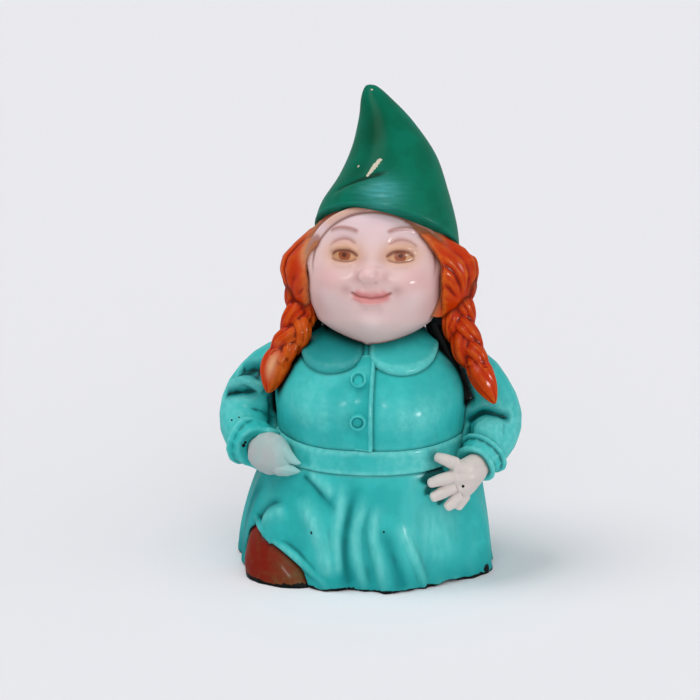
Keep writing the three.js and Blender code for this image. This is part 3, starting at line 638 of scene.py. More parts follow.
# Chips down to the dark casting: their middles and their radii
SKIRT_CHIPS = (((-11.9, -24.9, 14.1), 0.45), ((5.2, -24.7, 14.9), 0.3), ((28.3, -9.4, 1.2), 1.2),
               ((14.9, -20.9, 0.6), 0.7), ((1.3, -24.5, 0.3), 0.6))
DRESS_CHIPS = (((-33, -7.9, 36), 0.3), ((-31.2, -8, 36.8), 0.25), ((-29.3, -13.3, 31.4), 0.5),
               ((-28.9, -13.4, 32.2), 0.35), ((-8.1, -22.4, 29.6), 0.3))


def flatten_base(piece):
    co = points(piece)
    co[:, 2] = np.maximum(co[:, 2], 0)
    place(piece, co)


def smooth_side(piece):
    """Smooths the folds out of the skirt's left side, down to just over the hem."""
    x, y, z = points(piece).T
    group = piece.vertex_groups.new(name="side")
    for index, share in enumerate(ramp(x, *SIDE_ACROSS) * ramp(z, *SIDE_UP) * (y < SIDE_BACK)):
        group.add([index], share, "REPLACE")
    soften(piece, SIDE_ROUNDS, "side")
    settle(piece)
    piece.vertex_groups.clear()


def make_skirt():
    """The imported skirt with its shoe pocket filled, sculpted, and cut again by a soft shoe."""
    filler = cast("shoe", cell=0.3, rounds=8)
    swell(filler, SHOE_ROOM - 0.2)
    solid = copied("skirt")
    solid.from_mesh(filler.data)
    piece = from_bmesh("look_skirt", solid)
    melt(piece, cell=0.36, rounds=26)
    sculpt(piece, SIDE_FILL)
    smooth_side(piece)
    sculpt(piece, SKIRT_FOLDS)
    pocket = cast("shoe", cell=0.3, rounds=16)
    swell(pocket, SHOE_ROOM)
    cut = piece.modifiers.new("pocket", "BOOLEAN")
    cut.operation = "DIFFERENCE"
    cut.object = pocket
    settle(piece)
    for helper in (filler, pocket):
        bpy.data.objects.remove(helper)
    whole = bmesh.new()
    whole.from_mesh(piece.data)
    whole.from_mesh(tube("hem_fold", smooth_path(HEM_FOLD), HEM_FOLD_RADII))
    whole.to_mesh(piece.data)
    whole.free()
    melt(piece, cell=0.355, rounds=9)
    swell(piece, 0.15)
    flatten_base(piece)
    return piece


COLLAR_TOP = 57.6
# How far the neck is filled out over the collar, so that no gap shows beside it, and where that starts
# and where it is full, upwards and towards the front
NECK_FILL = 4.2
NECK_UP, NECK_FRONT = (COLLAR_TOP + 0.2, COLLAR_TOP + 1.4), (6, 2)
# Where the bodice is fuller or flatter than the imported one: the middle, the size each way and the rise
BODICE_FORMS = (((-13, -20, 41), (6.5, 12, 6), 0.9), ((13, -20, 41), (6.5, 12, 6), 0.9),
                ((1, -24, 43), (3, 9, 8), -0.5))
# The bulge over the waistband: its height, its half width and its rise
BULGE_UP, BULGE_WIDTH, BULGE_RISE = 34.4, 3, 0.6


def make_bodice():
    piece = cast("bodice", cell=0.42, rounds=60, crisp=0.8)
    co = points(piece)
    rise = 0.2 + BULGE_RISE * hump(co[:, 2], BULGE_UP, BULGE_WIDTH)
    for middle, size, amount in BODICE_FORMS:
        rise += amount * bump_at(co, middle, size)
    rise += NECK_FILL * ramp(co[:, 2], *NECK_UP) * ramp(co[:, 1], *NECK_FRONT)
    swell(piece, rise)
    return piece


# Points of a sheet that are closer than this are one
SHEET_WELD = 0.001


def make_sheet(name, columns, rows, spot, thickness=0.0):
    """A sheet laid out by spot(u, v), which gives a point for shares along and across.

    A thickness is given towards the figurine's axis; without one the sheet closes on itself."""
    mesh = bmesh.new()
    bmesh.ops.create_grid(mesh, x_segments=columns, y_segments=rows, size=1)
    for vert in mesh.verts:
        vert.co = Vector(spot((vert.co.x + 1) / 2, (vert.co.y + 1) / 2)) * MM
    bmesh.ops.remove_doubles(mesh, verts=mesh.verts, dist=SHEET_WELD * MM)
    bmesh.ops.recalc_face_normals(mesh, faces=mesh.faces)
    piece = from_bmesh(name, mesh)
    if thickness:
        co = points(piece)
        middle = len(co) // 2
        if normals(piece)[middle] @ (co[middle] * (1, 1, 0)) < 0:
            piece.data.flip_normals()
        shell = piece.modifiers.new("shell", "SOLIDIFY")
        shell.thickness = thickness * MM
        shell.offset = -1
        shell.use_even_offset = True
        settle(piece)
    return piece


# Rays towards the figurine start this far out
RAY_START = 60


def wrap_ray(tree, angle, height):
    """The outside of a piece at an angle about the axis and a height, and its normal there."""
    out = Vector((math.cos(angle), math.sin(angle), 0))
    start = (out * RAY_START + Vector((0, 0, height))) * MM
    hit, normal, _, _ = tree.ray_cast(start, -out)
    return np.array(hit) / MM, np.array(normal)


def rounded(share, part):
    """A quarter-round rise from 0 to 1 within a part of a share."""
    return math.sqrt(1 - (1 - min(max(share / part, 0), 1)) ** 2)


BAND_LOW, BAND_HIGH = 28, 34.1
# How far the band stands out, and how far its edges sink in
BAND_LIFT, BAND_SINK = 0.22, 0.4
# The shares of its height that round its lower and its upper edge
BAND_ROUND_LOW, BAND_ROUND_HIGH = 0.1, 0.2


def make_waistband(skirt_tree, body_tree):
    """A flat band that runs from the top of the skirt up on to the bodice."""
    def spot(u, v):
        angle = 2 * math.pi * u
        low, _ = wrap_ray(skirt_tree, angle, BAND_LOW)
        high, _ = wrap_ray(body_tree, angle, BAND_HIGH)
        out = np.array([math.cos(angle), math.sin(angle), 0])
        edge = rounded(v, BAND_ROUND_LOW) * rounded(1 - v, BAND_ROUND_HIGH)
        lift = (BAND_LIFT + BAND_SINK) * edge - BAND_SINK
        return low + (high - low) * v + out * lift

    return make_sheet("look_waistband", columns=240, rows=20, spot=spot, thickness=0.6)


COLLAR_SIDES = {"collar_right": -1, "collar_left": 1}
COLLAR_WIDTH, COLLAR_BACK_WIDTH = 6.9, 3
COLLAR_NOTCH = math.radians(2.2)
# How far a flap stands out, how far its edges sink in, and how much lower its top lies
COLLAR_LIFT, COLLAR_SINK, COLLAR_TOP_SINK = 1.25, 0.35, 0.25
# The share of its width that a flap begins with, and the share of its length in which it widens
COLLAR_START, COLLAR_WIDENING = 0.3, 0.15
# The shares of its width and of its length that round its edges
COLLAR_ROUND_LOW, COLLAR_ROUND_ENDS = 0.16, 0.025
# The share of its length over which a flap has its full width, and over which it narrows to the back
COLLAR_FULL, COLLAR_NARROWING = 0.14, 0.36


def make_collar(node, tree):
    side = COLLAR_SIDES[node]

    def spot(u, v):
        angle = -math.pi / 2 + side * (COLLAR_NOTCH + u * (math.pi - 2 * COLLAR_NOTCH))
        back = min(max(u - COLLAR_FULL, 0) / COLLAR_NARROWING, 1)
        front = 0.5 + 0.5 * math.cos(math.pi * back)
        width = COLLAR_BACK_WIDTH + (COLLAR_WIDTH - COLLAR_BACK_WIDTH) * front
        corner = COLLAR_START + (1 - COLLAR_START) * rounded(u, COLLAR_WIDENING)
        point, normal = wrap_ray(tree, angle, COLLAR_TOP - (1 - v) * width * corner)
        edge = rounded(v, COLLAR_ROUND_LOW) * rounded(min(u, 1 - u), COLLAR_ROUND_ENDS)
        lift = (COLLAR_LIFT + COLLAR_SINK) * edge - COLLAR_SINK - COLLAR_TOP_SINK * v
        return point + normal * lift

    return make_sheet("look_" + node, columns=160, rows=22, spot=spot, thickness=0.5)


PLACKET_LEFT, PLACKET_RIGHT = -4.6, 2.5
PLACKET_LOW, PLACKET_HIGH = 34.2, 54.5
PLACKET_RISE, PLACKET_SINK = 0.85, 0.3
# The share of its width in which the strip rises, how hollow that rise is, and the share that rounds
# its free edge
PLACKET_FULL, PLACKET_HOLLOW, PLACKET_ROUND = 0.8, 1.5, 0.06
# The seam by the strip's free edge: its place across, its half width and its rise
SEAM_AT, SEAM_WIDTH, SEAM_RISE = 0.9, 0.06, 0.4


def make_placket(tree):
    def spot(u, v):
        x = PLACKET_LEFT + (PLACKET_RIGHT - PLACKET_LEFT) * u
        z = PLACKET_LOW + (PLACKET_HIGH - PLACKET_LOW) * v
        hit, normal, _, _ = tree.ray_cast(Vector((x, -RAY_START, z)) * MM, Vector((0, 1, 0)))
        rise = PLACKET_RISE * min(u / PLACKET_FULL, 1) ** PLACKET_HOLLOW
        rise += SEAM_RISE * hump(u, SEAM_AT, SEAM_WIDTH)
        lift = rise * rounded(1 - u, PLACKET_ROUND) - PLACKET_SINK
        return np.array(hit) / MM + np.array(normal) * lift

    return make_sheet("look_placket", columns=60, rows=120, spot=spot, thickness=0.4)


# The dish in a button: its radius, how soft its edge is and its depth
DISH_RADIUS, DISH_EDGE, DISH_DEPTH = 1.45, 0.4, 0.4
# How much higher each button is than its packed one
BUTTON_SHIFT = {"button_upper": 0.0, "button_lower": 1.0}


def make_button(node):
    piece = cast(node, cell=0.1, rounds=8, crisp=0.25)
    co = points(piece)
    middle = (co.min(axis=0) + co.max(axis=0)) / 2
    away = np.hypot(co[:, 0] - middle[0], co[:, 2] - middle[2])
    dish = ramp(away, DISH_RADIUS, DISH_RADIUS - DISH_EDGE) * (normals(piece)[:, 1] < -0.4)
    swell(piece, 0.08 - DISH_DEPTH * dish)
    place(piece, points(piece) + (0, 0, BUTTON_SHIFT[node]))
    return piece


SLEEVE_FOLDS = {
    "sleeve_right": (
        Stroke([(-35.4, -1.2, 42), (-33.8, -1.8, 43.4), (-30.1, -3.4, 44.8), (-25.5, -5, 43)],
               0.9, 1.7, 0.4, 0.3),
        Stroke([(-35.9, -1.2, 40.4), (-31.5, -4.5, 42.3), (-26.5, -6, 42.2)], 0.9, -1.1, 0.1, 0.3),
        Stroke([(-33.2, -0.6, 46.8), (-29.8, -2.8, 47.6), (-25.3, -4, 47.2)], 1.7, -1.1, 0.1, 0.2),
    ),
    "sleeve_left": (
        Stroke([(22.5, -5, 36.2), (26.8, -6.1, 39.2), (30.2, -6.7, 39.2), (34, -6, 37.6)], 1.0, -1.3),
        Stroke([(24, -8.4, 36), (28, -9.6, 36.8), (32, -8.8, 36)], 2.2, 0.8),
    ),
}


def make_sleeve(node):
    piece = cast(node, cell=0.36, rounds=26, crisp=0.6)
    sculpt(piece, SLEEVE_FOLDS[node])
    swell(piece, 0.2)
    return piece


# Each cuff's way towards the hand, and how much longer it is than its packed ring
CUFF_REACH = {"cuff_right": (Vector((0.74, -0.64, -0.2)), 2.4),
              "cuff_left": (Vector((-0.47, -0.75, -0.47)), 0.8)}
# The raised lips of a cuff: their places along it, their half width and their rise
CUFF_LIPS, CUFF_LIP_WIDTH, CUFF_LIP_RISE = (0.2, 0.84), 0.09, 0.9
# How far the band between them sinks in
CUFF_SINK = 0.25


def make_cuff(node):
    """A flat band between two raised lips."""
    piece = cast_hull(node, cell=0.2, rounds=14)
    axis, stretch = CUFF_REACH[node]
    axis = np.array(axis.normalized())
    co = points(piece)
    reach = co @ axis
    share = (reach - reach.min()) / np.ptp(reach)
    place(piece, co + axis * (stretch * share)[:, None])
    lips = sum(hump(share, lip, CUFF_LIP_WIDTH) for lip in CUFF_LIPS)
    swell(piece, CUFF_LIP_RISE * lips - CUFF_SINK)
    return piece


HAND_CHIPS = (((23.3, -20.9, 25.4), 0.45),)
# Her left hand: lines and the radii along them, for the palm, the thumb and the fingers
LEFT_HAND = (
    ([(20.6, -19, 29.2), (23.8, -17.2, 28.6), (27.4, -12.4, 29.4)], (1.6, 2.4, 2.6)),
    ([(20.8, -19.4, 27), (24, -17.6, 27), (27.2, -13, 28.6)], (1.7, 2.5, 2.6)),
    ([(21.6, -19.4, 24.4), (23.8, -17.8, 25.4), (26.6, -14, 27.8)], (1.6, 2.3, 2.5)),
    ([(22.9, -18.8, 22.8), (24.2, -17.4, 24.6), (26.4, -14.4, 27.4)], (1.4, 2.0, 2.3)),
    ([(21.6, -18.6, 30), (18.9, -19.4, 31.3), (16.6, -19, 31.9)], (1.5, 1.25, 0.9)),
    ([(21, -19.2, 27.2), (18, -20.6, 26.7), (15.2, -21.3, 25.9)], (1.4, 1.3, 0.95)),
    ([(21, -19.4, 24.8), (18.2, -20.8, 23.5), (15.9, -21.6, 22.5)], (1.4, 1.3, 0.95)),
    ([(22.4, -19.2, 22.6), (20.6, -20.5, 21), (19.3, -21.2, 20.1)], (1.3, 1.2, 0.9)),
    ([(23.8, -18.4, 22.6), (22.6, -19.3, 20.9), (21.8, -19.9, 19.6)], (1.25, 1.15, 0.9)),
)
# A finger's end is drawn in to this share of its radius
FINGER_END = 0.6
# Fingers of her right hand, which run to a point: the root, the tip, and how far from its line a
# finger reaches
POINTED_FINGERS = (((-19.4, -19.4, 33.2), (-14.2, -21, 31.8), 2.8),
                   ((-19.4, -20.4, 29.6), (-14, -22.6, 28.2), 4.4))
# The most that a pointed finger is drawn in and the share by which its front half is drawn out
FINGER_PULL, FINGER_LONGER = 0.95, 0.25
# Her right hand is flatter below this height, by a share
RIGHT_HAND_MIDDLE, RIGHT_HAND_SQUASH = 29.6, 0.38


def taper(piece, root, tip, reach):
    """Draws a finger in towards its own line, more and more towards its tip."""
    co = points(piece)
    root, tip = np.array(root), np.array(tip)
    step = tip - root
    share = (co - root) @ step / (step @ step)
    axis = root + share[:, None] * step
    near = np.exp(-(np.linalg.norm(co - axis, axis=1) / reach) ** 4)
    pull = near * np.clip(share, 0, FINGER_PULL)
    longer = FINGER_LONGER * near * np.clip(share - 0.5, 0, 0.5)
    place(piece, co + (axis - co) * pull[:, None] + step * longer[:, None])


def make_right_hand():
    piece = cast("hand_right", cell=0.2, rounds=16)
    swell(piece, 0.3)
    co = points(piece)
    co[:, 2] += RIGHT_HAND_SQUASH * np.clip(RIGHT_HAND_MIDDLE - co[:, 2], 0, 4)
    place(piece, co)
    for root, tip, reach in POINTED_FINGERS:
        taper(piece, root, tip, reach)
    return piece


def make_left_hand():
    fingers = []
    for path, widths in LEFT_HAND:
        line = smooth_path(path)
        radii = spread_evenly(widths, len(line))
        radii[-1] *= FINGER_END
        fingers.append(tube("finger", line, radii))
    piece = joined("look_hand_left", fingers)
    melt(piece, cell=0.2, rounds=22)
    swell(piece, 0.2)
    return piece


def make_shoe():
    piece = cast("shoe", cell=0.3, rounds=16, crisp=0.6)
    swell(piece, 0.5)
    flatten_base(piece)
    return piece


# The head

# The middle of the face lies this far across the head's own
FACE_SHIFT = 0.5


def in_head(co):
    """Points in the head's own frame."""
    return (co - np.array(HEAD_MIDDLE)) @ HEAD_TURN


def from_head(co):
    return np.asarray(co, float) @ HEAD_TURN.T + np.array(HEAD_MIDDLE)


def on_face(tree, across, up):
    """The point of the face at a place across and up from the head's middle."""
    start = Vector(from_head((FACE_SHIFT + across, -RAY_START, up))) * MM
    ahead = Vector(HEAD_TURN @ np.array([0, 1, 0]))
    return np.array(tree.ray_cast(start, ahead)[0]) / MM


def face_line(tree, path):
    """A smooth line on the face through places across and up."""
    return smooth_path([on_face(tree, across, up) for across, up in path], 5)


def sides(across):
    """Both sides of the face, for a place off its middle."""
    return (-across, across) if across else (0,)


# An eye's place, and half of its length and of its height
EYE_ACROSS, EYE_UP = 6.5, 2.4
EYE_HALF, EYE_OPEN = 3.3, 1.15
# The ochre about an eye: half of its length and of its height, and how far it lies over the eye
SOCKET_HALF, SOCKET_OPEN, SOCKET_UP = 4.6, 2.9, 0.4
# How sharp the eye's edge is
EYE_SHARPNESS = 4

# Strokes about an eye, as places outward and up from its middle
EYE_STROKES = {
    "lid_edge": Stroke([(-3.3, -0.3), (-1.6, 0.8), (0.2, 1.1), (2, 0.8), (3.4, -0.2)],
                       0.32, -0.45, 0.1, 0.1),
    "lid": Stroke([(-3, 0.8), (-1.4, 1.9), (0.3, 2.25), (2.2, 1.8), (3.8, 0.7)], 0.9, 0.75),
    "lid_crease": Stroke([(-2.8, 2.5), (-1, 3.5), (0.6, 3.7), (2.6, 3.1), (4, 1.9)], 0.55, -0.32),
    "low_edge": Stroke([(-3.1, -0.6), (-1.4, -1.25), (0.4, -1.35), (2.2, -1), (3.4, -0.4)],
                       0.3, -0.3, 0.1, 0.1),
    "low_lid": Stroke([(-2.6, -1.5), (-0.8, -2.2), (1, -2.2), (2.8, -1.6)], 0.7, 0.35),
    "brow": Stroke([(-3.4, 5.3), (-1.2, 6), (1.4, 6.1), (3.8, 5.3)], 0.5, 0.45),
}


def eye_strokes():
    """The strokes about both eyes in head places."""
    for name, stroke in EYE_STROKES.items():
        for side in (-1, 1):
            path = [(side * (EYE_ACROSS + across), EYE_UP + up) for across, up in stroke.path]
            yield name, stroke._replace(path=path)


MOUTH = [(-4.9, -5.9), (-3, -6.9), (-1.2, -7.15), (0, -7.35), (1.2, -7.15), (3, -6.9), (4.9, -5.9)]
# Strokes of the lips, the fold under them and the bridge of the nose
FACE_MIDDLE = (
    Stroke(MOUTH, 0.42, -0.6, 0.08, 0.08),
    Stroke([(-3.4, -6.1), (-1.3, -6.1), (0, -6.4), (1.3, -6.1), (3.4, -6.1)], 0.65, 0.4),
    Stroke([(-3, -8), (0, -8.7), (3, -8)], 0.9, 0.6),
    Stroke([(-2.8, -10.1), (0, -10.5), (2.8, -10.1)], 1.1, -0.35),
    Stroke([(0, 5), (0, 2.4), (0, 0)], 2.2, 0.4, 0.5, 0.1),
)
# Swellings and dimples of the face: how far across and up, the size and the rise
FACE_BUMPS = (
    (0, -13.2, 3.4, 0.8), (8.6, -4.6, 4.6, 0.9), (2.1, -2.6, 1.0, 0.5), (1.05, -3.8, 0.5, -0.3),
    (5.6, -5.7, 1.3, -0.35), (6.5, 3, 4.4, -0.8), (6.5, 2.4, 1.9, 0.6),
)
# The jaw narrows by a share, in front, from a height in the head's frame down to the chin
JAW_TOP, JAW_BOTTOM, JAW_PINCH, JAW_CURVE = -13.6, -20.5, 0.58, 1.33
JAW_FRONT = (6, 2)
HAIRLINE_HALF_WIDTH, HAIRLINE_UP = 15.2, 13.0
# The raised rim along the hairline: its half width and rise, and where its bare flesh begins
RIM_WIDTH, RIM_RISE = 0.9, 1.1
RIM_FLESH_FROM = (-11, -9.5)
# Where the forehead begins to turn lavender and where it is full
LAVENDER_FROM = (3, 11)
# The lips against the line of the mouth: their share of its length, how far they lie under it, and their
# half width
LIP_LENGTH, LIP_DROP, LIP_WIDTH = 0.86, 0.1, 1.25
# The hair paint under the brim, darker as painted shade, begins at this share of the hairline, and a dark
# line lies inside it at this one
BRIM_DARK, HAIRLINE_INSIDE = 1.03, 0.93

EYE_BALL = rgb(208, 156, 112)
IRIS = rgb(150, 74, 34)
PUPIL = rgb(84, 36, 20)
IRIS_RADIUS, PUPIL_RADIUS, IRIS_EDGE, IRIS_UP = 1.5, 0.65, 0.2, 0.05
EYE_LINE = rgb(120, 62, 44)
OCHRE = rgb(214, 158, 112)
BROW_LINE = rgb(160, 92, 74)
LIP = rgb(224, 140, 138)
LIP_LINE = rgb(160, 74, 74)
BLUSH = rgb(226, 158, 158)
MAUVE = rgb(196, 146, 144)
LAVENDER = rgb(226, 200, 208)
HAIRLINE = rgb(112, 58, 40)
UNDER_BRIM = rgb(150, 62, 26)
RIM_FLESH = rgb(226, 184, 166)
# Soft touches of paint: blush, painted shade in mauve, and painted highlights in the skin's lighter colour:
# how far across and up, the size, the strength and the paint
FACE_TOUCHES = (
    (10, -4.6, 4.4, 0.55, BLUSH), (3.3, -2.4, 1.5, 0.55, MAUVE), (5.8, -5.6, 1.3, 0.6, MAUVE),
    (2.6, 1.6, 1.5, 0.4, MAUVE), (1.4, -10.2, 1.6, 0.3, MAUVE), (12.5, -9.5, 3.4, 0.3, MAUVE),
    (0, -1.8, 2.4, 0.5, BLUSH), (0, -12.6, 3, 0.8, SKIN.light), (9.6, -7.4, 3.2, 0.7, SKIN.light),
    (0, -1, 1.3, 0.6, SKIN.light),
)
# Lines painted about the eyes: the stroke, the half width, the paint and the strength
EYE_PAINTS = (("lid_edge", 0.34, EYE_LINE, 1.0), ("low_edge", 0.26, EYE_LINE, 0.75),
              ("lid_crease", 0.34, BROW_LINE, 0.5), ("brow", 0.5, BROW_LINE, 0.75))


def hairline_path():
    """The line round the face where the hair begins, from her right cheek over the forehead."""
    turns = np.radians(np.linspace(193, -13, 21))
    return [(HAIRLINE_HALF_WIDTH * math.cos(turn), HAIRLINE_UP * math.sin(turn)) for turn in turns]


def blend(colour, mask, paint):
    return colour + (paint - colour) * np.clip(mask, 0, 1)[:, None]


def narrow_jaw(piece):
    """Draws the lower part of the face in towards the chin."""
    local = in_head(points(piece))
    down = ramp(local[:, 2], JAW_TOP, JAW_BOTTOM) ** JAW_CURVE
    ahead = ramp(local[:, 1], *JAW_FRONT)
    local[:, 0] -= (local[:, 0] - FACE_SHIFT) * JAW_PINCH * down * ahead
    place(piece, from_head(local))


def face_colours(co, tree, eye_lines, rim):
    """The paint at each point of the head, with painted shade and painted highlights among it."""
    x, y, z = in_head(co).T
    across = x - FACE_SHIFT
    colour = np.broadcast_to(SKIN.base, co.shape).copy()
    colour = blend(colour, 0.8 * ramp(z, *LAVENDER_FROM), LAVENDER)
    for out, up, size, strength, paint in FACE_TOUCHES:
        for side in sides(out):
            colour = blend(colour, strength * bump_at(co, on_face(tree, side, up), size), paint)
    ahead = y < -6
    up = z - EYE_UP
    for side in sides(EYE_ACROSS):
        out = across - side
        away = (out / SOCKET_HALF) ** 2 + ((up - SOCKET_UP) / SOCKET_OPEN) ** 2
        around = np.exp(-away ** 1.5) * ahead
        colour = blend(colour, 0.85 * around, OCHRE)
        inside = 1 - (out / EYE_HALF) ** 2 - (up / EYE_OPEN) ** 2
        opening = np.clip(inside * EYE_SHARPNESS, 0, 1) * ahead
        colour = blend(colour, opening, EYE_BALL)
        ring = np.hypot(out, up - IRIS_UP)
        for radius, paint in ((IRIS_RADIUS, IRIS), (PUPIL_RADIUS, PUPIL)):
            colour = blend(colour, opening * ramp(ring, radius, radius - IRIS_EDGE), paint)
    for name, width, paint, strength in EYE_PAINTS:
        for line in eye_lines[name]:
            colour = blend(colour, strength * stroke_mask(co, line, width), paint)
    lips = face_line(tree, [(out * LIP_LENGTH, up - LIP_DROP) for out, up in MOUTH])
    full = np.clip(1.6 * stroke_mask(co, lips, LIP_WIDTH, 0.12, 0.12), 0, 1)
    colour = blend(colour, 0.9 * full, LIP)
    mouth = face_line(tree, MOUTH)
    colour = blend(colour, 0.85 * stroke_mask(co, mouth, 0.3, 0.05, 0.05), LIP_LINE)
    spread = np.hypot(across / HAIRLINE_HALF_WIDTH, z / HAIRLINE_UP)
    # Hair paint outside the hairline, darkened as the shade under the brim
    colour = blend(colour, np.clip((spread - BRIM_DARK) * 14, 0, 1) * (z > -4), UNDER_BRIM)
    bare = np.clip(1.4 * stroke_mask(co, rim, 1.1), 0, 1)
    colour = blend(colour, ramp(x, *RIM_FLESH_FROM) * bare, RIM_FLESH)
    inside = [(out * HAIRLINE_INSIDE, up * HAIRLINE_INSIDE) for out, up in hairline_path()]
    inner = face_line(tree, inside)
    return blend(colour, 0.85 * stroke_mask(co, inner, 0.42), HAIRLINE)


def make_head():
    piece = cast("head", cell=0.248, rounds=27)
    narrow_jaw(piece)
    tree = surface(piece)
    co = points(piece)
    rise = np.zeros(len(co))
    eye_lines = {}
    for name, stroke in eye_strokes():
        line = face_line(tree, stroke.path)
        eye_lines.setdefault(name, []).append(line)
        rise += raised(co, line, stroke)
    for stroke in FACE_MIDDLE:
        rise += raised(co, face_line(tree, stroke.path), stroke)
    for across, up, size, amount in FACE_BUMPS:
        for side in sides(across):
            rise += amount * bump_at(co, on_face(tree, side, up), size)
    rim = face_line(tree, hairline_path())
    rise += RIM_RISE * stroke_mask(co, rim, RIM_WIDTH)
    swell(piece, rise)
    store_colour(piece, "tint", face_colours(co, tree, eye_lines, rim))
    return piece


# The hair and the hat

HAIR_MIDDLE = 0.9
# Streaks where bare flesh shows, on the hair and on the right braid's tail
HAIR_STREAK = [(-13, -7.4, 82.5), (-14.6, -9.8, 78.3), (-15.6, -11.7, 74.5)]
TAIL_STREAK = [(-20.6, -12, 57), (-22.2, -12.5, 53), (-23.4, -12.6, 48.6), (-23.8, -12.4, 46)]
# The strands fan out from this place, back and up in the head's frame
STRANDS_BACK, STRANDS_UP = -4, -9
# How closely the strands lie, how much closer the finer ones do, and how deep all of them and the
# parting are
STRAND_WAVES, FINER_WAVES = 17, 2.3
STRAND_DEPTH, FINER_DEPTH = 0.4, 0.14
# Where the strands and the finer ones begin and where they are full, away from that place
STRANDS_FROM, FINER_FROM = (2, 6), (5, 11)
# How far the strands sway, and how often
STRAND_SWAY, SWAY_WAVES = 0.9, 5
PARTING_WIDTH, PARTING_DEPTH = 0.7, 0.6
# In front, the hair ends at this height and the braids go on
HAIR_END = 62.5

# Rings of the hat in the head's frame: a place along the hat, the middle across and back, the rise
# over the brim and the radius
HAT_RINGS = ((0, 2.4, 2.4, 0, 17.4), (1, 2.8, 2.9, 5.6, 16), (2, 3.6, 3.8, 13, 12.8),
             (3, 3.5, 4.8, 20.6, 9.8), (4, 1.4, 5.7, 28.1, 6.2), (5, -1, 6.4, 33.1, 3.4),
             (6, -2.2, 6.7, 35.7, 1.4), (6.4, -2.5, 6.8, 36.2, 0))
HAT_BRIM_UP = 5.4
HAT_BRIM_TILT, HAT_BRIM_ROLL = math.radians(-28), math.radians(9)
# How fast the rings turn level towards the tip, and the share of the sheet that closes the bottom
HAT_LEVELLING = 1.5
HAT_BOTTOM = 0.04
# The hair stays this far inside the hat, which narrows by this much for each step up, from just under
# the brim
HAT_TUCK, HAT_SLOPE = 1.0, 0.45
TUCK_FROM = (-0.8, 0.8)


def hat_turn(share):
    """How a ring of the hat is turned, from the tilted brim to the level tip."""
    lean = (1 - share) ** HAT_LEVELLING
    tilt = Matrix.Rotation(HAT_BRIM_TILT * lean, 3, "X")
    return np.array(tilt @ Matrix.Rotation(HAT_BRIM_ROLL * lean, 3, "Y"))


def tuck_under_hat(piece):
    """Draws what lies over the plane of the hat's brim in, so that the hat covers it."""
    _, across, back, _, radius = HAT_RINGS[0]
    middle = np.array([across, back, HAT_BRIM_UP])
    turn = hat_turn(0)
    local = (in_head(points(piece)) - middle) @ turn
    rise = local[:, 2]
    away = np.maximum(np.hypot(local[:, 0], local[:, 1]), 0.01)
    goal = np.minimum(away, radius - HAT_TUCK - HAT_SLOPE * np.clip(rise, 0, 20))
    local[:, :2] *= (1 + (goal / away - 1) * ramp(rise, *TUCK_FROM))[:, None]
    place(piece, from_head(local @ turn.T + middle))


def make_hair():
    piece = cast("hair", cell=0.3, rounds=22, crisp=0.5)
    x, y, z = in_head(points(piece)).T
    away = np.abs(x - HAIR_MIDDLE)
    side = np.sign(x - HAIR_MIDDLE)
    turn = np.arctan2(z - STRANDS_UP, y - STRANDS_BACK)
    reach = np.hypot(z - STRANDS_UP, y - STRANDS_BACK)
    wave = STRAND_WAVES * turn + STRAND_SWAY * np.sin(SWAY_WAVES * turn + side) + 0.1 * away
    strand = (0.5 + 0.5 * np.cos(wave)) ** 2 * ramp(reach, *STRANDS_FROM)
    finer = (0.5 + 0.5 * np.cos(FINER_WAVES * wave + 1.7 * side)) * ramp(reach, *FINER_FROM)
    parting = hump(away, 0, PARTING_WIDTH) * (y > 0)
    swell(piece, 0.25 - STRAND_DEPTH * strand - FINER_DEPTH * finer - PARTING_DEPTH * parting)
    tuck_under_hat(piece)
    co = points(piece)
    lowest = np.interp(co[:, 1], (-3, 3), (HAIR_END, 0))
    co[:, 2] = np.maximum(co[:, 2], lowest)
    place(piece, co)
    return piece


HAT_STROKES = (
    Stroke([(-9, -4.6, 90.4), (-7.4, -6.3, 91.9), (-2.8, -8, 94.4), (1.4, -8.3, 95.8), (5, -7.6, 96.6)],
           1.0, -0.35),
    Stroke([(-8, -7, 88.6), (-2.4, -10, 91.4), (3, -10.8, 92.8), (8, -9, 93)], 2.4, 0.45),
)
HAT_SCUFF_START, HAT_SCUFF_END = Vector((-0.4, -7.9, 95.7)), Vector((2.6, -5.5, 99.2))
HAT_SCUFF_SPOTS = (0.3, 0.35, 0.45, 0.5, 0.55, 0.6, 0.6, 0.65, 0.65, 0.65, 0.6, 0.5, 0.35)
HAT_SPECKS = (((-2.7, -4.7, 97.2), 0.35), ((9.1, 4.8, 105.6), 0.25), ((-0.9, 7.9, 113.6), 0.35))


def hat_chips():
    """Pale spots: a slanting scuff made of overlapping ones, and three specks."""
    last = len(HAT_SCUFF_SPOTS) - 1
    scuff = [(HAT_SCUFF_START.lerp(HAT_SCUFF_END, index / last), radius)
             for index, radius in enumerate(HAT_SCUFF_SPOTS)]
    return [*scuff, *HAT_SPECKS]


def make_hat():
    line = smooth_path(HAT_RINGS, 18)
    last = len(line) - 1

    def spot(u, v):
        inward = min(v / HAT_BOTTOM, 1)
        step = max(v - HAT_BOTTOM, 0) / (1 - HAT_BOTTOM) * last
        at, across, back, rise, radius = (np.interp(step, range(last + 1), column) for column in line.T)
        angle = 2 * math.pi * u
        ring = radius * inward * np.array([math.cos(angle), math.sin(angle), 0])
        middle = np.array([across, back, HAT_BRIM_UP + rise])
        return from_head(hat_turn(at / HAT_RINGS[-1][0]) @ ring + middle)

    piece = make_sheet("look_hat", columns=300, rows=130, spot=spot)
    swell(piece, 0.25)
    sculpt(piece, HAT_STROKES)
    return piece


# The braids

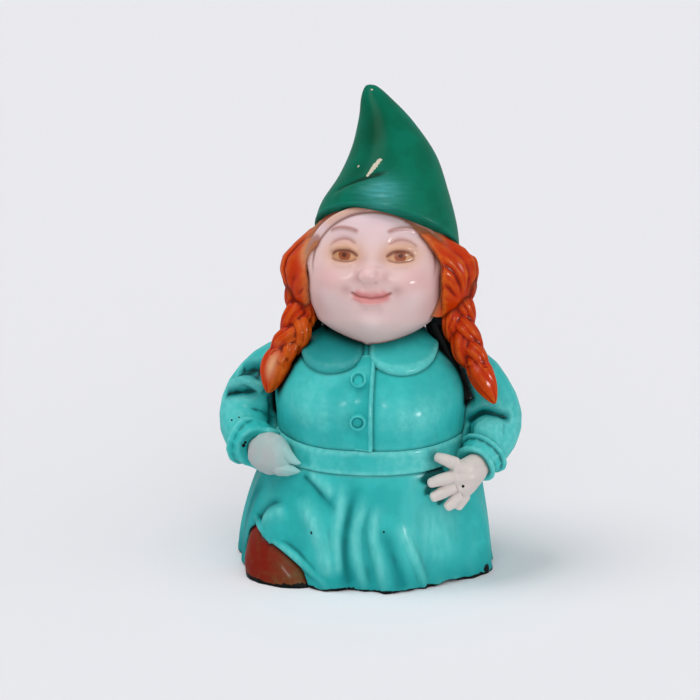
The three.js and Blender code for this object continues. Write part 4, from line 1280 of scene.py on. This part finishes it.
BRAID_ROUTES = {
    "braid_right": [(-16.4, -4, 70.5), (-15.9, -5, 66), (-17.6, -7.4, 58), (-21.6, -8.8, 51),
                    (-24, -9.6, 43.4)],
    "braid_left": [(20.4, -3.4, 70.5), (20.4, -4, 65.6), (21.6, -6.2, 59), (25.4, -8, 51.6),
                   (30, -9.4, 42.2)],
}
# A dark filler behind each braid, which closes the gap beside the bodice and is painted black as the shadow
# there
BRAID_BACKINGS = {
    "braid_right": [(-13.4, 1, 66), (-13.8, 0, 60), (-15.6, -1, 54.5)],
    "braid_left": [(14.2, 1, 66), (14.9, -0.4, 60), (17.8, -1.6, 54), (21, -2.6, 47.5), (23.4, -3.6, 41.5)],
}
BACKING_RADII = (2.6, 1.7)
# The share of a braid that is plaited, and the tails' radii below it
BRAID_TAIL = 0.67
TAIL_RADII = {"braid_right": 3.5, "braid_left": 3.0}
# A tail swells and thins like half a wave that begins at this share
TAIL_START = 0.14
# A strand's radii, from the hair down to the tail
STRAND_RADII = (2.688, 2.28)
# How far the strands swing across and out, and the length in which they do it once
PLAIT_WIDTH, PLAIT_DEPTH, PLAIT_PITCH = 1.8, 0.9, 19
# How wide that swing is at shares of a plait
SWING_SHARES, SWING_WIDTHS = (0, 0.5, 0.85, 1), (1.25, 1, 1, 0.55)
# Hairs of a strand: how many lie round it, how far they twist along strands and tails, and their depth
HAIRS_ROUND, HAIR_TWIST, TAIL_TWIST, HAIR_DEPTH = 5, 2, 5, 0.24


def braid_frame(line, index):
    """The directions along, across and out of a braid at one of its points."""
    ahead = line[min(index + 1, len(line) - 1)] - line[max(index - 1, 0)]
    ahead /= np.linalg.norm(ahead)
    across = np.cross(ahead, (0, -1, 0))
    across /= np.linalg.norm(across)
    return ahead, across, np.cross(across, ahead)


def plait(line, lengths, strand):
    """The path of one of three strands, which swing across a braid's line and out of it."""
    path = []
    for index, length in enumerate(lengths):
        turn = 2 * math.pi * (length / PLAIT_PITCH + strand / 3)
        _, across, out = braid_frame(line, index)
        wide = np.interp(length / lengths[-1], SWING_SHARES, SWING_WIDTHS)
        swing = across * PLAIT_WIDTH * math.sin(turn) + out * PLAIT_DEPTH * math.sin(2 * turn)
        path.append(line[index] + wide * swing)
    return np.array(path)


def make_braid(node):
    line = smooth_path(BRAID_ROUTES[node], 20)
    lengths = np.concatenate([[0], np.cumsum(np.linalg.norm(np.diff(line, axis=0), axis=1))])
    plaited = lengths[lengths < lengths[-1] * BRAID_TAIL]
    strands = [plait(line, plaited, strand) for strand in range(3)]
    tubes = [tube(node + "_strand", path, STRAND_RADII) for path in strands]
    tail = line[len(plaited) - 3:]
    share = np.linspace(TAIL_START, 1, len(tail))
    radii = TAIL_RADII[node] * np.sin(math.pi * share ** 0.8) ** 0.75 + 0.2
    tubes.append(tube(node + "_tail", tail, radii))
    backing = smooth_path(BRAID_BACKINGS[node])
    tubes.append(tube(node + "_backing", backing, BACKING_RADII))
    piece = joined("look_" + node, tubes)
    melt(piece, cell=0.22, rounds=5)

    co = points(piece)
    gaps = [along(path, co) for path in (*strands, tail, backing)]
    owner = np.argmin(np.stack([gap for gap, _ in gaps]), axis=0)
    # The filler is painted black as shadow
    store(piece, "slot", owner == len(gaps) - 1)
    rise = np.zeros(len(co))
    for index, path in enumerate((*strands, tail)):
        mine = owner == index
        _, share = gaps[index]
        spot = np.clip((share * (len(path) - 1)).astype(int), 0, len(path) - 1)
        directions = np.array([braid_frame(path, at)[1:] for at in range(len(path))])
        offset = co - path[spot]
        sideways = (offset * directions[spot, 0]).sum(axis=1)
        outward = (offset * directions[spot, 1]).sum(axis=1)
        twist = TAIL_TWIST if path is tail else HAIR_TWIST
        wave = HAIRS_ROUND * np.arctan2(sideways, outward) + twist * share
        rise[mine] = -HAIR_DEPTH * (0.5 + 0.5 * np.cos(wave[mine])) ** 2
    swell(piece, rise)
    return piece


# Light, floor and camera

SKY_LIGHT = 0.36
FLOOR_PALE, BACKDROP_PALE = rgb(246, 246, 251), rgb(230, 231, 235)
# Half the floor's side, in metres
FLOOR_HALF = 6
# Each lamp's name, the way to it, its strength and how wide it looks in degrees. The glints are small
# lamps that are only mirrored in the varnish.
LAMPS = (
    ("window_left", (0.8, -0.6, 0.6), 0.75, 90),
    ("window_front", (0.1, -0.8, 0.6), 0.5, 50),
    ("window_above", (-0.45, -0.1, 1.0), 1.05, 30),
    ("glint_left", (0.88, -0.46, 0.02), 5.0, 12),
    ("glint_front", (-0.1, -0.9, 0.5), 0.8, 8),
)


def set_stage():
    mesh = bmesh.new()
    bmesh.ops.create_grid(mesh, x_segments=1, y_segments=1, size=FLOOR_HALF)
    floor = from_bmesh("floor", mesh)
    sockets = {"Base Color": FLOOR_PALE, "Roughness": 0.9, "Specular IOR Level": 0.0}
    floor.data.materials.append(Paint("pale_floor").finish(sockets))

    world = bpy.data.worlds.new("studio")
    world.use_nodes = True
    nodes, links = world.node_tree.nodes, world.node_tree.links
    sky = nodes["Background"]
    sky.inputs["Color"].default_value = (1, 1, 1, 1)
    sky.inputs["Strength"].default_value = SKY_LIGHT
    backdrop = nodes.new("ShaderNodeBackground")
    backdrop.inputs["Color"].default_value = (*BACKDROP_PALE, 1)
    rays = nodes.new("ShaderNodeLightPath")
    shown = rays.outputs["Is Camera Ray"]
    for kind in ("Is Glossy Ray", "Is Transmission Ray"):
        either = nodes.new("ShaderNodeMath")
        either.operation = "MAXIMUM"
        links.new(shown, either.inputs[0])
        links.new(rays.outputs[kind], either.inputs[1])
        shown = either.outputs[0]
    mixed = nodes.new("ShaderNodeMixShader")
    links.new(shown, mixed.inputs[0])
    links.new(sky.outputs[0], mixed.inputs[1])
    links.new(backdrop.outputs[0], mixed.inputs[2])
    links.new(mixed.outputs[0], nodes["World Output"].inputs["Surface"])
    bpy.context.scene.world = world
    for name, towards, strength, angle in LAMPS:
        lamp = bpy.data.lights.new(name, "SUN")
        lamp.energy = strength
        lamp.angle = math.radians(angle)
        holder = bpy.data.objects.new(name, lamp)
        holder.rotation_euler = Vector(towards).to_track_quat("Z", "Y").to_euler()
        holder.visible_diffuse = not name.startswith("glint")
        bpy.context.scene.collection.objects.link(holder)


def set_camera():
    view = Vector((math.sin(CAMERA_AZIMUTH) * math.cos(CAMERA_ELEVATION),
                   -math.cos(CAMERA_AZIMUTH) * math.cos(CAMERA_ELEVATION), math.sin(CAMERA_ELEVATION)))
    data = bpy.data.cameras.new("camera")
    data.lens = CAMERA_LENS
    data.sensor_width = 36
    data.clip_start = 0.01
    camera = bpy.data.objects.new("camera", data)
    camera.location = (CAMERA_TARGET + view * CAMERA_DISTANCE) * MM
    camera.rotation_euler = view.to_track_quat("Z", "Y").to_euler()
    bpy.context.scene.collection.objects.link(camera)
    bpy.context.scene.camera = camera
    bpy.context.scene.view_settings.view_transform = "Standard"


# Painted shade and painted highlights, and some tones of the paint itself

# Where the slots beside the bodice end, on her right and on her left
SLOT_LOW_RIGHT, SLOT_LOW_LEFT = 36, 39.5
# Painted shade and painted highlights in soft patches, the hat's sheen among them as a painted reflection:
# the piece, the mark, the middle, the size each way and the strength
LIGHT_AND_SHADE_MARKS = (
    ("hat", "deep", (0.5, 0.5, 105.6), (3.5, 8, 7), 0.85),
    ("hat", "deep", (-3, -7, 96), (6, 5, 2.4), 0.5),
    ("hat", "rub_and_highlight", (3.2, -11, 92.4), (4.4, 5, 3.4), 0.9),
    ("skirt", "rub_and_highlight", (16, -20, 14), (6, 8, 8), 0.8),
    ("sleeve_right", "rub_and_highlight", (-34, -6, 38), (5, 9, 4), 0.6),
    ("sleeve_left", "rub_and_highlight", (34, -6, 36), (6, 10, 8), 0.6),
    ("bodice", "rub_and_highlight", (13.5, -20, 41), (6, 8, 5), 0.35),
    ("bodice", "rub_and_highlight", (-12, -18, 47), (4, 8, 4), 0.4),
    ("waistband", "rub_and_highlight", (14, -18, 31), (9, 9, 4), 0.5),
    ("cuff_left", "rub_and_highlight", (29, -14, 31), (6, 6, 5), 0.5),
)
# Marks that grow along an axis: the piece, the mark, the axis, where it starts, where it is full, and
# the strength
SLOPING_MARKS = (
    # The skirt darker towards its hem
    ("skirt", "deep", 2, 8, 0, 0.75),
    # Painted shade on the skirt's side at her right
    ("skirt", "deep", 0, -18, -28, 0.5),
    # Painted shadow of the chin on her right collar flap
    ("collar_right", "wash", 2, 51, 55.5, 0.35),
    ("hand_right", "deep", 0, -21, -16, 0.8),
    ("shoe", "rub_and_highlight", 0, -23, -14, 1),
)
# Folds, and how strongly their ridges get painted highlights and their grooves painted shade
FOLD_SHADES = (
    ("skirt", SKIRT_FOLDS, 0.9, 0.6),
    ("sleeve_right", SLEEVE_FOLDS["sleeve_right"], 1.5, 1.2),
    ("sleeve_left", SLEEVE_FOLDS["sleeve_left"], 0.4, 0.9),
)
# Dark paint in the corners round the fingers of her left hand, which also paints their shade: lines and their
# half widths
DARK_CORNERS = (
    ([(14.1, -20.1, 25.2), (14.7, -19.5, 26.6), (16.7, -17.5, 27.4), (18.6, -15.1, 27.5)], 1.2),
    ([(15.2, -19.8, 22.6), (15, -19.8, 23.7), (15.6, -19.3, 24.6), (17.3, -18.1, 24.9)], 0.8),
    ([(18, -18.6, 20), (17.8, -18.5, 21.1), (18.7, -17.7, 21.6)], 0.7),
)


def darken_slot(piece, others):
    """Blackens the deep slot that a piece forms with others above the waist, as bare casting and painted
    shadow, with painted shade beside it.
    """
    co = points(piece)
    low = np.where(co[:, 0] < 0, SLOT_LOW_RIGHT, SLOT_LOW_LEFT)
    high = ramp(co[:, 2], low, low + 2)
    store(piece, "slot", 1.3 * high * contact(piece, others, 1.1))
    deepen(piece, "wash", high * contact(piece, others, 1.8))


def shade_folds(piece, folds, light, dark):
    """Paints highlights on ridges and shade in grooves."""
    co = points(piece)
    ridges = np.zeros(len(co))
    grooves = np.zeros(len(co))
    for fold in folds:
        mask = stroke_mask(co, smooth_path(fold.path), fold.width + 0.4, 0.2, 0.1)
        if fold.rise > 0:
            ridges = np.maximum(ridges, mask)
        else:
            grooves = np.maximum(grooves, mask)
    grooves *= 1 - ridges
    deepen(piece, "rub_and_highlight", light * ridges)
    deepen(piece, "deep", dark * grooves)
    deepen(piece, "wash", 0.4 * dark ** 2 * grooves)


def shade_by_hand(pieces):
    """Painted shade and painted highlights, and a few tones of the paint itself."""
    for node, mark, middle, size, strength in LIGHT_AND_SHADE_MARKS:
        deepen(pieces[node], mark, strength * bump_at(points(pieces[node]), middle, size))
    for node, mark, axis, start, end, strength in SLOPING_MARKS:
        deepen(pieces[node], mark, strength * ramp(points(pieces[node])[:, axis], start, end))
    for node, folds, light, dark in FOLD_SHADES:
        shade_folds(pieces[node], folds, light, dark)
    skirt = pieces["skirt"]
    for path, width in DARK_CORNERS:
        corner = stroke_mask(points(skirt), smooth_path(path), width)
        deepen(skirt, "wash", 0.78 * np.clip(1.8 * corner, 0, 1))
    # Painted shadow of the chin over her right collar flap
    deepen(pieces["collar_right"], "deep", 0.6)

    # A painted shade line on the bodice beside the placket's free edge
    bodice = pieces["bodice"]
    beside = points(bodice)[:, 0] > PLACKET_RIGHT - 0.6
    deepen(bodice, "wash", 0.6 * beside * contact(bodice, [pieces["placket"]], 0.5))
    darken_slot(bodice, [pieces[node] for node in (*SLEEVE_FOLDS, *BRAID_ROUTES)])
    for node in SLEEVE_FOLDS:
        darken_slot(pieces[node], [bodice])

    hair = pieces["hair"]
    co = points(hair)
    # The hair's lower ends beside the neck are painted black as shadow
    beside = (np.abs(co[:, 0] - HAIR_MIDDLE) > 9) & (np.abs(co[:, 1]) < 7)
    store(hair, "slot", ramp(co[:, 2], HAIR_END + 1.5, HAIR_END) * beside)
    streak = stroke_mask(co, smooth_path(HAIR_STREAK), 1.3, 0.3, 0.3)
    store(hair, "flesh", 0.35 * contact(hair, [pieces["head"]], 1.3) + 0.2 * streak)
    tail = pieces["braid_right"]
    co = points(tail)
    store(tail, "flesh", 0.85 * stroke_mask(co, smooth_path(TAIL_STREAK), 1.2, 0.2, 0.4))
    # A painted highlight in ochre along the tail's right side
    ochre = ramp(co[:, 0] - 0.35 * (co[:, 2] - 50), -22.2, -21) * (co[:, 2] < 62)
    deepen(tail, "rub_and_highlight", 0.8 * ochre)


# Building

# How deep a hollow is before the wash and painted shade fill it
USUAL_DEPTH = 0.06
DEPTHS = {"head": 0.32, "skirt": 0.1}
# How strongly the hat's ridges are dry-brushed lighter and given painted highlights, against 1 for the rest
HAT_RUB_AND_HIGHLIGHT = 0.1
# Pieces laid on the dress, which get no wash or painted shade along it
LAID_ON = ("placket", "collar_right", "collar_left", "waistband")


def touches_of(node, everything, dress):
    """Where the wash and the painted shade gather on a piece: its neighbours, the reach along them and the
    strength.
    """
    if node in dress:
        kin = [piece for name, piece in dress.items() if name not in (node, "placket")]
        strangers = [piece for name, piece in everything.items() if name not in dress]
    else:
        kin = []
        strangers = [piece for name, piece in everything.items() if name != node]
    touches = [(strangers, 0.6, 0.75)]
    if node not in LAID_ON:
        touches.append((kin, 0.45, 0.6))
    # Painted shadow of the head under the chin, and of her left hand on the waistband
    if node in ("bodice", "collar_right", "collar_left"):
        touches.append(([everything["head"]], 2.2, 0.7))
    if node == "waistband":
        touches.append(([everything["hand_left"]], 1.2, 0.8))
    return touches


def build():
    skirt = make_skirt()
    bodice = make_bodice()
    body_tree = surface(bodice)
    dress = {"skirt": skirt, "bodice": bodice, "waistband": make_waistband(surface(skirt), body_tree),
             "placket": make_placket(body_tree)}
    dress.update({node: make_button(node) for node in BUTTON_SHIFT})
    dress.update({node: make_collar(node, body_tree) for node in COLLAR_SIDES})
    dress.update({node: make_sleeve(node) for node in SLEEVE_FOLDS})
    dress.update({node: make_cuff(node) for node in CUFF_REACH})
    everything = {**dress, "hand_right": make_right_hand(), "hand_left": make_left_hand(),
                  "head": make_head(), "hair": make_hair(), "hat": make_hat()}
    everything.update({node: make_braid(node) for node in BRAID_ROUTES})
    everything["shoe"] = make_shoe()

    cling(everything["hair"], everything["head"], reach=1.1, sink=0.15)
    for node in SLEEVE_FOLDS:
        cling(dress[node], dress["waistband"], reach=2.4, sink=0.2)
        cling(dress[node], bodice, reach=1.8, sink=0.2)
    for node, piece in everything.items():
        ridge_light_share = HAT_RUB_AND_HIGHLIGHT if node == "hat" else 1
        mark_shade_and_highlights(piece, DEPTHS.get(node, USUAL_DEPTH), touches_of(node, everything, dress), ridge_light_share)
    shade_by_hand(everything)

    dress_finish = ("turquoise", painted("turquoise_paint", TURQUOISE, chips=DRESS_CHIPS, slots=True))
    hair_finish = ("hair", painted("hair_paint", HAIR, bare_flesh=True, slots=True))
    skirt_paint = painted("skirt_paint", TURQUOISE, chips=SKIRT_CHIPS, bare_hem=1.55, brush=(1, 1, 3))
    hat_paint = painted("hat_paint", HAT_GREEN, pale_chips=hat_chips(), brush=(4, 4, 0.4), varnish=0.07)
    finishes = {
        "skirt": ("turquoise", skirt_paint),
        "hand_right": ("skin", painted("right_hand_paint", HAND_GREY)),
        "hand_left": ("skin", painted("left_hand_paint", HAND_PALE, chips=HAND_CHIPS)),
        "head": ("skin", painted("face_paint", SKIN, tint=True, grain=0.012, varnish=0.22)),
        "hair": hair_finish, "braid_right": hair_finish, "braid_left": hair_finish,
        "hat": ("hat_green", hat_paint),
        "shoe": ("shoe_brown", painted("shoe_paint", SHOE_BROWN, bare_hem=1.9)),
    }
    for node, piece in everything.items():
        slot, paint = finishes.get(node, dress_finish)
        finish_piece(piece, node, slot, paint)


build()
set_stage()
set_camera()
